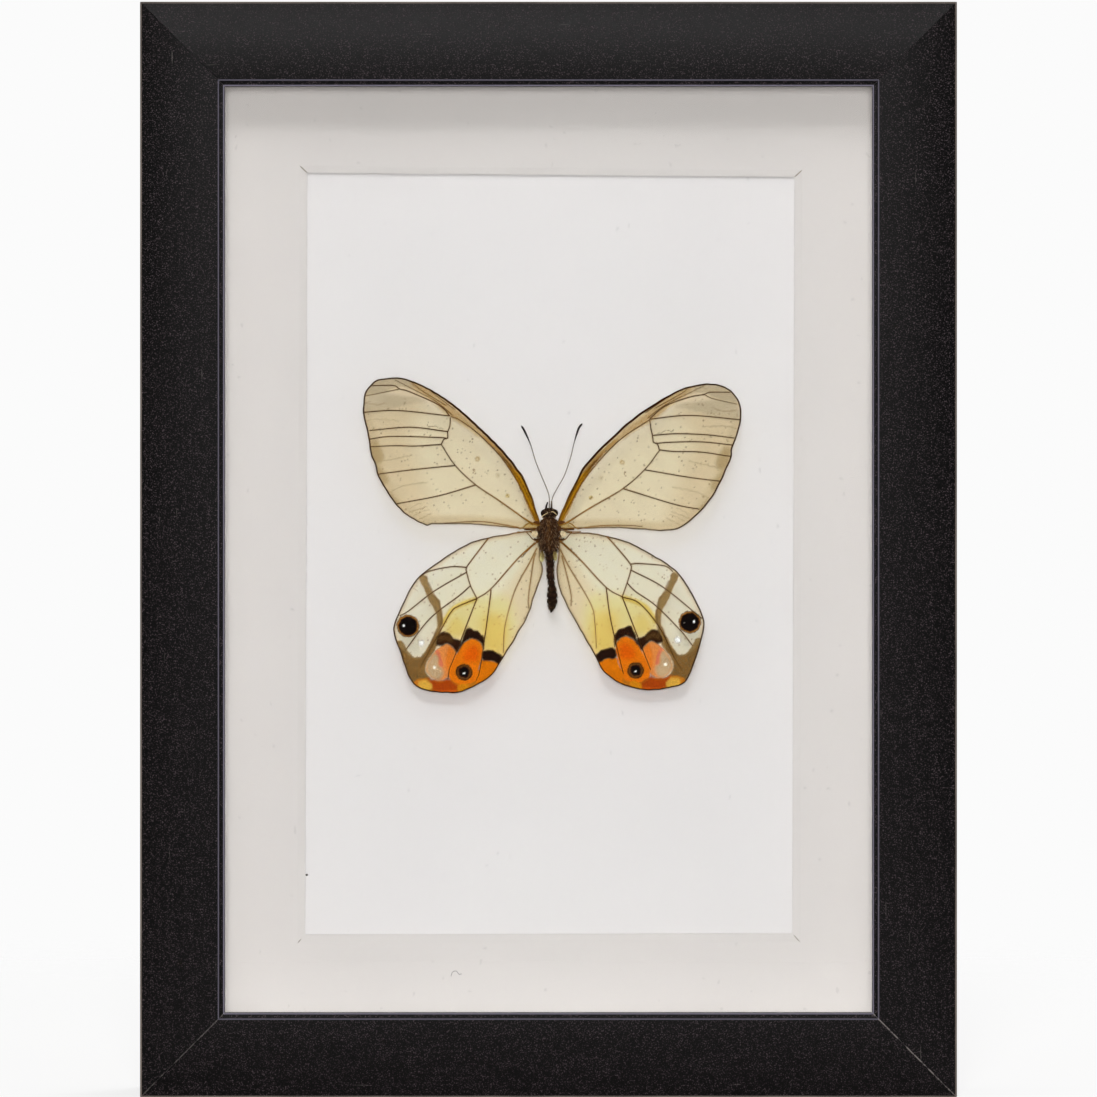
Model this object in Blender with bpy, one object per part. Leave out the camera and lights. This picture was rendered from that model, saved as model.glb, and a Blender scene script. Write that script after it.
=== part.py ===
# Framed butterfly specimen: a deep black box frame with a bevelled mat, and one
# clear-winged butterfly spread on a short pin in front of a white backing card.
# Metres, +Z up. The front faces -Y, and the origin is below the middle of the bottom edge.

import math

import bmesh
import bpy
from mathutils import Matrix, Vector
from mathutils.geometry import delaunay_2d_cdt

MM = 0.001
GAP = 0.3 * MM  # clearance between pieces that touch

# Frame moulding
FRAME_WIDTH = 150.0 * MM
FRAME_HEIGHT = 201.2 * MM
FRAME_DEPTH = 35.0 * MM
FACE_WIDTH = 14.5 * MM  # flat front of a rail
LIP_WIDTH = 1.0 * MM  # stepped lip between the face and the opening
LIP_STEP = 0.9 * MM  # how far the lip lies behind the face
LIP_DEPTH = 3.5 * MM  # front face to the seat of the glass
REBATE_WIDTH = 5.5 * MM
ARRIS = 0.3 * MM  # chamfer along the rail's front corners
LIP_ARRIS = 0.2 * MM
MITRE_CLEARANCE = 0.14 * MM

# Layers in the rebate, as distances behind the front face
GLASS_THICKNESS = 2.0 * MM
MAT_FRONT = 26.0 * MM
MAT_THICKNESS = 1.4 * MM
CARD_FRONT = 27.8 * MM
CARD_THICKNESS = 3.0 * MM
BOARD_FRONT = 31.1 * MM
BOARD_THICKNESS = 2.0 * MM
SPACER_WIDTH = 3.5 * MM

# Window in the mat: its corners on the front face, as cut, a little out of square
WINDOW_CORNERS = [
    Vector((-46.8, 27.2)) * MM,
    Vector((46.9, 27.4)) * MM,
    Vector((47.3, 171.4)) * MM,
    Vector((-46.4, 172.2)) * MM,
]
WINDOW_BEVELS = [1.6 * MM, 1.4 * MM, 1.3 * MM, 1.4 * MM]  # bottom, right, top, left

# Fittings on the back
TAB_LENGTH = 11.0 * MM
TAB_WIDTH = 7.0 * MM
TAB_THICKNESS = 0.5 * MM
TAB_ACROSS = 42.0 * MM  # top and bottom tabs, from the middle
HANGER_WIDTH = 44.0 * MM
HANGER_HEIGHT = 9.0 * MM
HANGER_THICKNESS = 0.8 * MM
HANGER_TEETH = 9
TOOTH_DEPTH = 1.6 * MM
HANGER_RISE = 70.0 * MM  # above the middle of the frame

# Where the butterfly floats: the middle of its thorax
SPECIMEN_RIGHT = 0.2 * MM
SPECIMEN_UP = 104.2 * MM
SPECIMEN_BACK = 19.0 * MM
PIN_RADIUS = 0.3 * MM
PIN_END = 30.2 * MM  # behind the front face, inside the card

# Wings. Points are millimetres from the thorax, seen from the front: right, then up.
WING_THICKNESS = 0.2 * MM
VEIN_HEIGHT = 0.12 * MM
VEIN_HALF_WIDTH = 0.35 * MM
RIM_STEP = 1.6 * MM
VEIN_STEP = 3.5 * MM
FOREWING_RISE = 0.6 * MM
HINDWING_RISE = -0.1 * MM
HINDWING_TILT = math.radians(4.0)
WING_CAMBER = 0.4 * MM
WING_SPAN = 36.0 * MM

FOREWING_LEFT = {
    "outline": [
        (-2.2, 1.9), (-2.9, 4.9), (-5.7, 11.1), (-9.1, 15.3), (-16.6, 22.4), (-22.2, 26.2),
        (-27.2, 28.2), (-31.6, 28.0), (-33.5, 26.7), (-34.4, 25.0), (-34.6, 21.7), (-33.6, 17.0),
        (-33.2, 13.9), (-32.5, 12.5), (-31.6, 9.5), (-27.8, 3.9), (-23.3, 1.0), (-21.3, 1.1),
        (-14.9, 1.1), (-5.7, 0.3), (-3.7, 0.2),
    ],
    "veins": [
        [(-3.1, 1.2), (-9.4, 5.5), (-13.7, 8.4), (-17.5, 12.0), (-20.1, 15.9)],
        [(-20.1, 15.9), (-18.9, 17.1), (-18.9, 18.2), (-18.4, 20.9)],
        [(-2.9, 2.8), (-5.3, 7.8), (-8.8, 13.3), (-12.9, 17.6), (-18.4, 21.1)],
        [(-18.5, 21.2), (-28.0, 22.2), (-34.5, 21.9)],
        [(-18.9, 18.3), (-25.9, 19.1), (-33.4, 18.5)],
        [(-19.1, 17.0), (-29.3, 17.4), (-33.4, 16.9)],
        [(-20.1, 15.9), (-28.4, 15.7), (-33.3, 15.5)],
        [(-17.5, 12.0), (-31.9, 10.4)],
        [(-13.7, 8.4), (-20.5, 6.4), (-28.4, 4.9)],
        [(-18.5, 21.2), (-20.5, 23.2), (-26.0, 25.7), (-30.3, 26.9)],
    ],
}
FOREWING_RIGHT = {
    "outline": [
        (2.0, 2.2), (2.6, 4.9), (7.1, 12.8), (15.1, 20.5), (22.4, 25.2), (26.0, 26.7),
        (30.0, 27.2), (33.2, 26.3), (35.2, 23.9), (35.6, 20.9), (34.9, 17.7), (33.9, 15.1),
        (33.6, 13.1), (30.8, 7.1), (27.8, 3.2), (24.6, 0.7), (21.2, -0.1), (12.1, 0.4),
        (5.1, 0.3),
    ],
    "veins": [
        [(3.2, 1.5), (7.5, 4.1), (13.6, 7.7), (17.7, 11.3), (20.4, 14.8)],
        [(20.4, 14.8), (19.3, 16.3), (19.1, 17.6), (18.6, 20.5)],
        [(2.9, 3.2), (5.9, 8.6), (9.6, 13.3), (13.6, 17.2), (18.6, 20.5)],
        [(18.6, 20.6), (26.0, 21.3), (35.4, 20.5)],
        [(19.1, 17.6), (25.0, 17.9), (34.3, 17.1)],
        [(19.9, 16.1), (26.0, 16.4), (34.0, 15.8)],
        [(20.4, 14.9), (28.0, 14.5), (33.6, 13.7)],
        [(17.7, 11.2), (26.0, 9.8), (31.6, 9.1)],
        [(13.7, 7.7), (23.2, 4.8), (27.8, 3.9)],
        [(18.6, 20.7), (22.2, 23.4), (28.7, 25.2), (33.6, 25.6)],
    ],
}
HINDWING_LEFT = {
    "outline": [
        (-2.4, -2.0), (-5.4, -0.6), (-7.7, -0.7), (-13.0, -1.7), (-16.5, -3.2), (-23.2, -7.7),
        (-25.7, -10.5), (-28.7, -16.8), (-28.9, -19.3), (-27.9, -22.3), (-25.0, -28.9),
        (-18.3, -30.3), (-14.8, -29.4), (-11.1, -27.3), (-8.8, -24.0), (-4.2, -16.3),
        (-3.0, -12.7), (-1.3, -7.7), (-1.7, -4.8),
    ],
    "veins": [
        [(-11.3, -1.4), (-14.2, -5.2), (-15.4, -7.4), (-14.7, -10.3), (-13.5, -12.7)],
        [(-15.4, -6.9), (-18.3, -6.8), (-24.1, -8.7)],
        [(-15.4, -7.8), (-21.4, -11.3), (-27.8, -15.9)],
        [(-14.7, -10.3), (-22.2, -16.4), (-26.8, -22.3)],
        [(-13.5, -12.7), (-18.3, -15.2), (-20.4, -18.9), (-24.1, -25.6)],
        [(-13.5, -12.7), (-17.6, -23.3), (-18.9, -27.7)],
        [(-2.8, -2.9), (-6.0, -5.6), (-10.9, -10.9), (-13.5, -12.7)],
        [(-10.9, -10.9), (-12.8, -25.1), (-13.6, -27.9)],
        [(-2.6, -3.6), (-5.4, -9.0), (-8.3, -17.9), (-8.6, -22.8)],
    ],
}
HINDWING_RIGHT = {
    "outline": [
        (2.0, -0.5), (4.4, -0.4), (7.6, -0.5), (13.2, -1.7), (16.7, -3.2), (22.4, -6.6),
        (25.2, -9.6), (28.6, -16.3), (28.2, -20.7), (26.1, -26.7), (24.3, -28.8),
        (18.8, -29.8), (15.1, -29.2), (12.5, -28.2), (9.9, -26.1), (8.4, -23.3),
        (4.4, -16.3), (2.1, -11.7), (1.3, -8.0), (1.6, -4.6),
    ],
    "veins": [
        [(10.6, -1.1), (13.0, -3.8), (15.1, -6.9), (14.4, -9.8), (13.5, -12.4)],
        [(15.0, -6.3), (20.6, -6.5), (22.9, -7.7)],
        [(15.1, -7.4), (21.1, -10.6), (28.3, -16.4)],
        [(14.4, -9.8), (19.7, -14.0), (26.6, -21.5)],
        [(13.5, -12.4), (16.7, -13.6), (20.4, -18.0), (24.6, -26.0)],
        [(13.5, -12.4), (18.8, -26.0)],
        [(2.3, -2.2), (5.6, -5.4), (10.5, -10.6), (13.5, -12.4)],
        [(10.5, -10.6), (11.4, -16.8), (13.7, -26.7)],
        [(2.1, -3.6), (7.6, -13.6), (8.4, -17.1), (8.7, -21.9)],
    ],
}

# Body rings in millimetres: up, middle right, middle forward, half width, half depth
BODY_SIDES = 14
BODY_RINGS = [
    (4.15, -0.05, 0.25, 0.40, 0.40),
    (3.95, -0.05, 0.25, 0.85, 0.75),
    (3.30, -0.05, 0.20, 1.15, 1.00),
    (2.60, -0.05, 0.15, 1.10, 0.95),
    (2.25, -0.05, 0.10, 0.95, 0.90),
    (1.90, -0.10, 0.00, 1.30, 1.30),
    (1.30, -0.12, -0.10, 1.60, 1.75),
    (0.00, -0.22, -0.15, 1.70, 2.05),
    (-2.00, -0.20, -0.20, 1.45, 1.85),
    (-3.40, -0.10, -0.30, 1.35, 1.45),
    (-3.90, -0.05, -0.30, 0.98, 1.10),
    (-5.80, 0.10, -0.35, 0.78, 0.95),
    (-7.60, 0.14, -0.45, 0.70, 0.85),
    (-8.70, 0.16, -0.55, 0.72, 0.85),
    (-9.85, 0.34, -0.65, 0.63, 0.80),
    (-11.10, 0.48, -0.80, 0.85, 0.90),
    (-12.40, 0.49, -0.95, 1.00, 1.00),
    (-13.70, 0.46, -1.05, 0.92, 0.90),
    (-14.50, 0.42, -1.10, 0.55, 0.55),
    (-15.30, 0.28, -1.10, 0.12, 0.12),
]
EYE_RADIUS = 0.66 * MM
EYES = {"eye_left": (-1.02, 3.15, 0.35), "eye_right": (0.95, 3.20, 0.35)}
PALPS = {
    "palp_left": [(-0.70, 3.6, -0.1), (-0.62, 4.4, -0.1), (-0.36, 5.2, 0.0)],
    "palp_right": [(0.30, 3.6, -0.2), (0.36, 4.4, -0.2), (0.38, 5.4, -0.1)],
}
LEG_RADIUS = 0.16 * MM
LEGS = {
    "leg_mid_left": [(-0.4, 0.4, -1.6), (-1.5, 1.0, -2.8), (-0.8, -2.2, -3.1), (-0.7, -4.6, -2.6)],
    "leg_mid_right": [(0.2, 0.4, -1.6), (1.3, 1.0, -2.8), (0.8, -2.2, -3.1), (0.7, -4.6, -2.6)],
    "leg_hind_left": [(-0.4, -1.6, -1.5), (-1.3, -1.9, -2.5), (-1.2, -4.4, -2.4), (-1.1, -6.8, -2.3)],
    "leg_hind_right": [(0.2, -1.6, -1.5), (1.2, -1.9, -2.5), (1.3, -4.4, -2.4), (1.2, -6.8, -2.3)],
}

# Antennae, from the head to the tip of the club
ANTENNA_LEFT = [
    (-0.05, 4.75, 0.7), (-0.06, 5.9, 0.9), (-0.36, 7.3, 1.1), (-1.5, 10.05, 1.3), (-2.6, 12.8, 1.3),
    (-3.5, 15.8, 1.2), (-4.0, 17.0, 1.1), (-4.6, 18.5, 1.0), (-5.3, 19.4, 0.9),
]
ANTENNA_RIGHT = [
    (0.37, 4.75, 0.7), (0.40, 5.4, 0.9), (0.75, 6.5, 1.1), (1.5, 7.9, 1.2), (2.76, 10.2, 1.3),
    (3.87, 13.4, 1.3), (4.5, 16.0, 1.2), (5.35, 18.75, 1.0), (6.1, 19.8, 0.9),
]
SHAFT_RADIUS = 0.09 * MM
CLUB_RADIUS = 0.20 * MM
CLUB_SHARE = 0.22  # of the antenna's points, at its tip

FINISHES = {
    "black_foil": ((0.012, 0.010, 0.010), 0.38, 0.0),
    "clear_glass": ((0.90, 0.95, 0.93), 0.03, 0.0),
    "white_foamboard": ((0.80, 0.79, 0.77), 0.85, 0.0),
    "warm_white_mat": ((0.74, 0.71, 0.69), 0.90, 0.0),
    "cool_white_card": ((0.74, 0.72, 0.72), 0.90, 0.0),
    "brown_hardboard": ((0.23, 0.13, 0.07), 0.80, 0.0),
    "zinc_steel": ((0.55, 0.55, 0.54), 0.35, 1.0),
    "brown_body": ((0.045, 0.025, 0.016), 0.80, 0.0),
    "dark_antenna": ((0.030, 0.020, 0.015), 0.50, 0.0),
    "clear_wing": ((0.62, 0.52, 0.33), 0.40, 0.0),
    "pin_steel": ((0.45, 0.45, 0.46), 0.25, 1.0),
}


def clear_scene():
    for thing in list(bpy.data.objects):
        bpy.data.objects.remove(thing, do_unlink=True)


def finish(name):
    """The material of that name, made on first use."""
    material = bpy.data.materials.get(name)
    if material is None:
        color, roughness, metallic = FINISHES[name]
        material = bpy.data.materials.new(name)
        material.use_nodes = True
        shader = material.node_tree.nodes["Principled BSDF"]
        shader.inputs["Base Color"].default_value = (*color, 1.0)
        shader.inputs["Roughness"].default_value = roughness
        shader.inputs["Metallic"].default_value = metallic
    return material


def add_object(name, bm, material_name, parent=None, smooth_angle=None):
    """Turns a closed bmesh into an object with its faces pointing out."""
    bmesh.ops.recalc_face_normals(bm, faces=bm.faces[:])
    mesh = bpy.data.meshes.new(name)
    bm.to_mesh(mesh)
    bm.free()
    if smooth_angle is not None:
        mesh.shade_smooth()
        mesh.set_sharp_from_angle(angle=smooth_angle)
    mesh.materials.append(finish(material_name))
    piece = bpy.data.objects.new(name, mesh)
    bpy.context.scene.collection.objects.link(piece)
    piece.parent = parent
    return piece


def hide_helper(piece):
    """Marks a cutter, or a shape that is joined into another."""
    piece.hide_render = True
    piece.display_type = "WIRE"


def add_boolean(piece, other, operation):
    modifier = piece.modifiers.new(other.name, "BOOLEAN")
    modifier.operation = operation
    modifier.solver = "EXACT"
    modifier.object = other
    hide_helper(other)


def add_board(name, size, middle, material_name, chamfer):
    """A flat board or strip with slightly eased edges."""
    bm = bmesh.new()
    bmesh.ops.create_cube(bm, size=1.0)
    bmesh.ops.scale(bm, vec=size, verts=bm.verts[:])
    bmesh.ops.bevel(
        bm, geom=bm.edges[:], offset=chamfer, segments=1, profile=0.5, affect="EDGES", material=-1
    )
    board = add_object(name, bm, material_name)
    board.location = middle
    return board


def behind_front(distance):
    """Y of a plane this far behind the frame's front face."""
    return distance - FRAME_DEPTH / 2


def rail_section():
    """The rail's outline: inward from its outer side, then back from its front face."""
    rail = FACE_WIDTH + LIP_WIDTH
    rebate = rail - REBATE_WIDTH
    return [
        (0.0, ARRIS),
        (ARRIS, 0.0),
        (FACE_WIDTH - LIP_ARRIS, 0.0),
        (FACE_WIDTH, LIP_ARRIS),
        (FACE_WIDTH, LIP_STEP),
        (rail - LIP_ARRIS, LIP_STEP),
        (rail, LIP_STEP + LIP_ARRIS),
        (rail, LIP_DEPTH),
        (rebate, LIP_DEPTH),
        (rebate, FRAME_DEPTH),
        (0.0, FRAME_DEPTH),
    ]


def add_rail(name, length, middle, turn):
    """A mitred rail, drawn along X with its outer side at Z 0, then turned about Y."""
    bm = bmesh.new()
    half = length / 2 - MITRE_CLEARANCE
    end = [bm.verts.new((inward - half, behind_front(back), inward)) for inward, back in rail_section()]
    cap = bm.faces.new(end)
    grown = bmesh.ops.extrude_face_region(bm, geom=[cap])
    for part in grown["geom"]:
        if isinstance(part, bmesh.types.BMVert):
            part.co.x = -part.co.x
    rail = add_object(name, bm, "black_foil")
    rail.location = middle
    rail.rotation_euler = (0.0, turn, 0.0)
    return rail


def add_frame():
    across, upright = FRAME_WIDTH / 2, FRAME_HEIGHT / 2
    add_rail("rail_bottom", FRAME_WIDTH, (0.0, 0.0, 0.0), 0.0)
    add_rail("rail_right", FRAME_HEIGHT, (across, 0.0, upright), -math.pi / 2)
    add_rail("rail_top", FRAME_WIDTH, (0.0, 0.0, FRAME_HEIGHT), math.pi)
    add_rail("rail_left", FRAME_HEIGHT, (-across, 0.0, upright), math.pi / 2)


def rebate_size():
    """Width and height of the space between the rebate's walls, less the clearance."""
    rebate = FACE_WIDTH + LIP_WIDTH - REBATE_WIDTH + GAP
    return FRAME_WIDTH - 2 * rebate, FRAME_HEIGHT - 2 * rebate


def add_layer(name, front, thickness, material_name, chamfer):
    width, height = rebate_size()
    middle = (0.0, behind_front(front + thickness / 2), FRAME_HEIGHT / 2)
    return add_board(name, (width, thickness, height), middle, material_name, chamfer)


def add_spacers():
    """Four strips that hold the mat away from the glass."""
    width, height = rebate_size()
    front = LIP_DEPTH + GLASS_THICKNESS + 2 * GAP
    depth = MAT_FRONT - GAP - front
    back = behind_front(front + depth / 2)
    chamfer = 0.1 * MM
    side = (SPACER_WIDTH, depth, height)
    cross = (width - 2 * (SPACER_WIDTH + GAP), depth, SPACER_WIDTH)
    shift_x = (width - SPACER_WIDTH) / 2
    shift_z = (height - SPACER_WIDTH) / 2
    up = FRAME_HEIGHT / 2
    add_board("spacer_left", side, (-shift_x, back, up), "white_foamboard", chamfer)
    add_board("spacer_right", side, (shift_x, back, up), "white_foamboard", chamfer)
    add_board("spacer_top", cross, (0.0, back, up + shift_z), "white_foamboard", chamfer)
    add_board("spacer_bottom", cross, (0.0, back, up - shift_z), "white_foamboard", chamfer)


def bevelled_corners():
    """The window's corners on the mat's back face, each side moved in by its bevel."""
    moved = []
    count = len(WINDOW_CORNERS)
    for i in range(count):
        start, end = WINDOW_CORNERS[i], WINDOW_CORNERS[(i + 1) % count]
        along = (end - start).normalized()
        inward = Vector((-along.y, along.x)) * WINDOW_BEVELS[i]
        moved.append((start + inward, along))
    corners = []
    for i in range(count):
        (point, along), (before, along_before) = moved[i], moved[i - 1]
        step = (before - point).cross(along_before) / along.cross(along_before)
        corners.append(point + along * step)
    return corners


def add_mat():
    """The mat board, with its window cut at a slant that shows the board's white core."""
    width, height = rebate_size()
    low, high = (FRAME_HEIGHT - height) / 2, (FRAME_HEIGHT + height) / 2
    outer = [(-width / 2, low), (width / 2, low), (width / 2, high), (-width / 2, high)]
    front, back = behind_front(MAT_FRONT), behind_front(MAT_FRONT + MAT_THICKNESS)
    bm = bmesh.new()
    loops = []
    for corners, y in ((outer, front), (WINDOW_CORNERS, front), (bevelled_corners(), back), (outer, back)):
        loops.append([bm.verts.new((x, y, z)) for x, z in corners])
    for near, far in zip(loops, loops[1:] + loops[:1]):
        for i in range(4):
            j = (i + 1) % 4
            bm.faces.new((near[i], near[j], far[j], far[i]))
    add_object("mat_board", bm, "warm_white_mat")


def add_backing_card():
    """The white card behind the window, with the hole that the pin was pushed through."""
    card = add_layer("backing_card", CARD_FRONT, CARD_THICKNESS, "cool_white_card", 0.1 * MM)
    bm = bmesh.new()
    radius = PIN_RADIUS + GAP
    bmesh.ops.create_cone(
        bm, cap_ends=True, segments=10, radius1=radius, radius2=radius, depth=2 * CARD_THICKNESS
    )
    cutter = add_object("pin_hole_cutter", bm, "pin_steel")
    cutter.location = (SPECIMEN_RIGHT, behind_front(CARD_FRONT + CARD_THICKNESS / 2), SPECIMEN_UP)
    cutter.rotation_euler = (math.pi / 2, 0.0, 0.0)
    add_boolean(card, cutter, "DIFFERENCE")


def add_plate(name, outline, thickness, material_name):
    """A flat plate in XZ, from its outline, with its front at Y 0."""
    bm = bmesh.new()
    face = bm.faces.new([bm.verts.new((x, 0.0, z)) for x, z in outline])
    grown = bmesh.ops.extrude_face_region(bm, geom=[face])
    raised = [part for part in grown["geom"] if isinstance(part, bmesh.types.BMVert)]
    bmesh.ops.translate(bm, verts=raised, vec=(0.0, thickness, 0.0))
    return add_object(name, bm, material_name)


def tab_outline():
    """A strip with a round end, pointing up from the rebate's wall."""
    half = TAB_WIDTH / 2
    straight = TAB_LENGTH - half
    points = [(-half, 0.0), (half, 0.0)]
    steps = 8
    for i in range(steps + 1):
        angle = math.pi * i / steps
        points.append((half * math.cos(angle), straight + half * math.sin(angle)))
    return points


def add_tabs():
    """Bent steel tabs that keep the back board in."""
    width, height = rebate_size()
    back = behind_front(BOARD_FRONT + BOARD_THICKNESS + GAP)
    low, high = (FRAME_HEIGHT - height) / 2, (FRAME_HEIGHT + height) / 2
    middle = FRAME_HEIGHT / 2
    places = {
        "tab_bottom_left": (-TAB_ACROSS, low, 0.0),
        "tab_bottom_right": (TAB_ACROSS, low, 0.0),
        "tab_right": (width / 2, middle, -math.pi / 2),
        "tab_top_right": (TAB_ACROSS, high, math.pi),
        "tab_top_left": (-TAB_ACROSS, high, math.pi),
        "tab_left": (-width / 2, middle, math.pi / 2),
    }
    for name, (x, z, turn) in places.items():
        tab = add_plate(name, tab_outline(), TAB_THICKNESS, "zinc_steel")
        tab.location = (x, back, z)
        tab.rotation_euler = (0.0, turn, 0.0)


def add_hanger():
    """A steel strip with a saw-toothed lower edge, for one nail in the wall."""
    half, foot = HANGER_WIDTH / 2, HANGER_WIDTH / 6
    toothed = HANGER_WIDTH - 2 * foot
    pitch = toothed / HANGER_TEETH
    outline = [(half, 0.0), (half, HANGER_HEIGHT), (-half, HANGER_HEIGHT), (-half, 0.0)]
    rise = HANGER_HEIGHT / 4
    outline.append((-half + foot, 0.0))
    for i in range(HANGER_TEETH):
        x = -half + foot + i * pitch
        outline.append((x, rise))
        outline.append((x + pitch / 2, rise + TOOTH_DEPTH))
    outline.append((half - foot, rise))
    outline.append((half - foot, 0.0))
    hanger = add_plate("sawtooth_hanger", outline, HANGER_THICKNESS, "zinc_steel")
    back = behind_front(BOARD_FRONT + BOARD_THICKNESS + GAP)
    hanger.location = (0.0, back, FRAME_HEIGHT / 2 + HANGER_RISE)


def curve_through(points, step, closed):
    """Evenly spaced points on a smooth curve through the given ones."""
    count = len(points)
    spans = count if closed else count - 1
    route = []
    for i in range(spans):
        here, there = points[i], points[(i + 1) % count]
        before = points[i - 1] if closed or i > 0 else here * 2 - there
        after = points[(i + 2) % count] if closed or i + 2 < count else there * 2 - here
        pieces = max(1, round((there - here).length / step))
        for k in range(pieces):
            t = k / pieces
            bend = here * 3 - before - there * 3 + after
            sweep = before * 2 - here * 5 + there * 4 - after
            route.append((here * 2 + (there - before) * t + sweep * t**2 + bend * t**3) / 2)
    if not closed:
        route.append(points[-1])
    return route


def distance_to_line(point, line):
    """The shortest distance from a point to a run of straight pieces."""
    best = math.inf
    for start, end in zip(line, line[1:]):
        along = end - start
        share = min(max((point - start).dot(along) / along.length_squared, 0.0), 1.0)
        best = min(best, (point - start - along * share).length)
    return best


def vein_rows(line):
    """A vein's crest and the two feet of its ridge."""
    rows = [[], [], []]
    for i, point in enumerate(line):
        along = (line[min(i + 1, len(line) - 1)] - line[max(i - 1, 0)]).normalized()
        side = Vector((-along.y, along.x)) * VEIN_HALF_WIDTH
        rows[0].append(point)
        rows[1].append(point + side)
        rows[2].append(point - side)
    return rows


def wing_camber(x):
    """The wing's gentle arch along its span."""
    return WING_CAMBER * math.sin(math.pi * min(abs(x) / WING_SPAN, 1.0))


def add_wing(name, shape, rise, tilt, parent):
    """A thin wing with its main veins as low ridges on both faces."""
    rim = curve_through([Vector(p) * MM for p in shape["outline"]], RIM_STEP, True)
    veins = [curve_through([Vector(p) * MM for p in vein], VEIN_STEP, False) for vein in shape["veins"]]
    points = list(rim)
    edges = []
    rim_line = rim + rim[:1]
    for vein in veins:
        for row in vein_rows(vein):
            inside = [p for p in row if distance_to_line(p, rim_line) > VEIN_HALF_WIDTH]
            first = len(points)
            points.extend(inside)
            edges.extend((first + i, first + i + 1) for i in range(len(inside) - 1))
    rim_face = list(range(len(rim)))
    triangles_inside = 1
    merge_distance = 0.05 * MM
    flat, _, faces, _, _, _ = delaunay_2d_cdt(points, edges, [rim_face], triangles_inside, merge_distance)
    bm = bmesh.new()
    corners = [bm.verts.new((p.x, p.y, 0.0)) for p in flat]
    for face in faces:
        bm.faces.new([corners[i] for i in face])
    grown = bmesh.ops.extrude_face_region(bm, geom=bm.faces[:])
    upper = {part for part in grown["geom"] if isinstance(part, bmesh.types.BMVert)}
    for vert in bm.verts:
        point = vert.co.xy
        to_vein = min(distance_to_line(point, vein) for vein in veins)
        ridge = VEIN_HEIGHT * max(0.0, 1.0 - to_vein / VEIN_HALF_WIDTH)
        half = WING_THICKNESS / 2 + ridge
        vert.co.z = wing_camber(point.x) + (half if vert in upper else -half)
    wing = add_object(name, bm, "clear_wing", parent, math.radians(30))
    wing.location = (0.0, 0.0, rise)
    wing.rotation_euler = (tilt, 0.0, 0.0)
    return wing


def add_tube(bm, route, radii, sides):
    """A round tube along a route, closed at both ends."""
    last = len(route) - 1
    ring_before = None
    for i, point in enumerate(route):
        along = (route[min(i + 1, last)] - route[max(i - 1, 0)]).normalized()
        place = Matrix.Translation(point) @ along.to_track_quat("Z", "Y").to_matrix().to_4x4()
        ring = bmesh.ops.create_circle(bm, cap_ends=False, segments=sides, radius=radii[i], matrix=place)
        ring = ring["verts"]
        if ring_before is None:
            bm.faces.new(ring)
        else:
            for a in range(sides):
                b = (a + 1) % sides
                bm.faces.new((ring_before[a], ring_before[b], ring[b], ring[a]))
        ring_before = ring
    bm.faces.new(ring_before)


def limb_curve(points, step):
    return curve_through([Vector(p) * MM for p in points], step, False)


def add_limb(name, points, radii_ends, parent):
    """A small tapering tube, such as a leg or a palp."""
    route = limb_curve(points, 1.2 * MM)
    start, end = radii_ends
    last = len(route) - 1
    radii = [start + (end - start) * i / last for i in range(last + 1)]
    bm = bmesh.new()
    add_tube(bm, route, radii, 6)
    return add_object(name, bm, "brown_body", parent, math.radians(60))


def add_body(parent):
    """Head, thorax and abdomen in one, with the eyes, palps and folded legs joined on."""
    bm = bmesh.new()
    ring_before = None
    for up, right, forward, half_width, half_depth in BODY_RINGS:
        ring = bmesh.ops.create_circle(bm, cap_ends=False, segments=BODY_SIDES, radius=1.0)["verts"]
        bmesh.ops.scale(bm, vec=(half_width * MM, half_depth * MM, 1.0), verts=ring)
        bmesh.ops.rotate(bm, matrix=Matrix.Rotation(math.pi / 2, 3, "X"), verts=ring)
        bmesh.ops.translate(bm, vec=(right * MM, up * MM, forward * MM), verts=ring)
        if ring_before is None:
            bm.faces.new(ring)
        else:
            for a in range(BODY_SIDES):
                b = (a + 1) % BODY_SIDES
                bm.faces.new((ring_before[a], ring_before[b], ring[b], ring[a]))
        ring_before = ring
    bm.faces.new(ring_before)
    body = add_object("butterfly_body", bm, "brown_body", parent, math.radians(60))
    for name, place in EYES.items():
        eye_bm = bmesh.new()
        bmesh.ops.create_uvsphere(eye_bm, u_segments=12, v_segments=8, radius=EYE_RADIUS)
        eye = add_object(name, eye_bm, "dark_antenna", parent, math.radians(60))
        eye.location = Vector(place) * MM
        add_boolean(body, eye, "UNION")
    for name, points in PALPS.items():
        add_boolean(body, add_limb(name, points, (0.22 * MM, 0.12 * MM), parent), "UNION")
    for name, points in LEGS.items():
        add_boolean(body, add_limb(name, points, (LEG_RADIUS, LEG_RADIUS * 0.7), parent), "UNION")
    return body


def add_antenna(name, points, parent):
    """A thin shaft that swells into a slim club at its tip."""
    route = limb_curve(points, 1.4 * MM)
    last = len(route) - 1
    radii = []
    for i in range(last + 1):
        into_club = max(0.0, (i / last - 1 + CLUB_SHARE) / CLUB_SHARE)
        swell = math.sin(math.pi * min(into_club, 0.85) / 1.3)
        radii.append(SHAFT_RADIUS + (CLUB_RADIUS - SHAFT_RADIUS) * swell)
    bm = bmesh.new()
    add_tube(bm, route, radii, 6)
    return add_object(name, bm, "dark_antenna", parent, math.radians(60))


def add_pin(parent):
    """The insect pin that holds the thorax clear of the card."""
    top = -2.6 * MM
    end = SPECIMEN_BACK - PIN_END
    bm = bmesh.new()
    add_tube(bm, [Vector((0.0, 0.0, end)), Vector((0.0, 0.0, top))], [PIN_RADIUS, PIN_RADIUS], 8)
    add_object("insect_pin", bm, "pin_steel", parent, math.radians(60))


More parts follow.
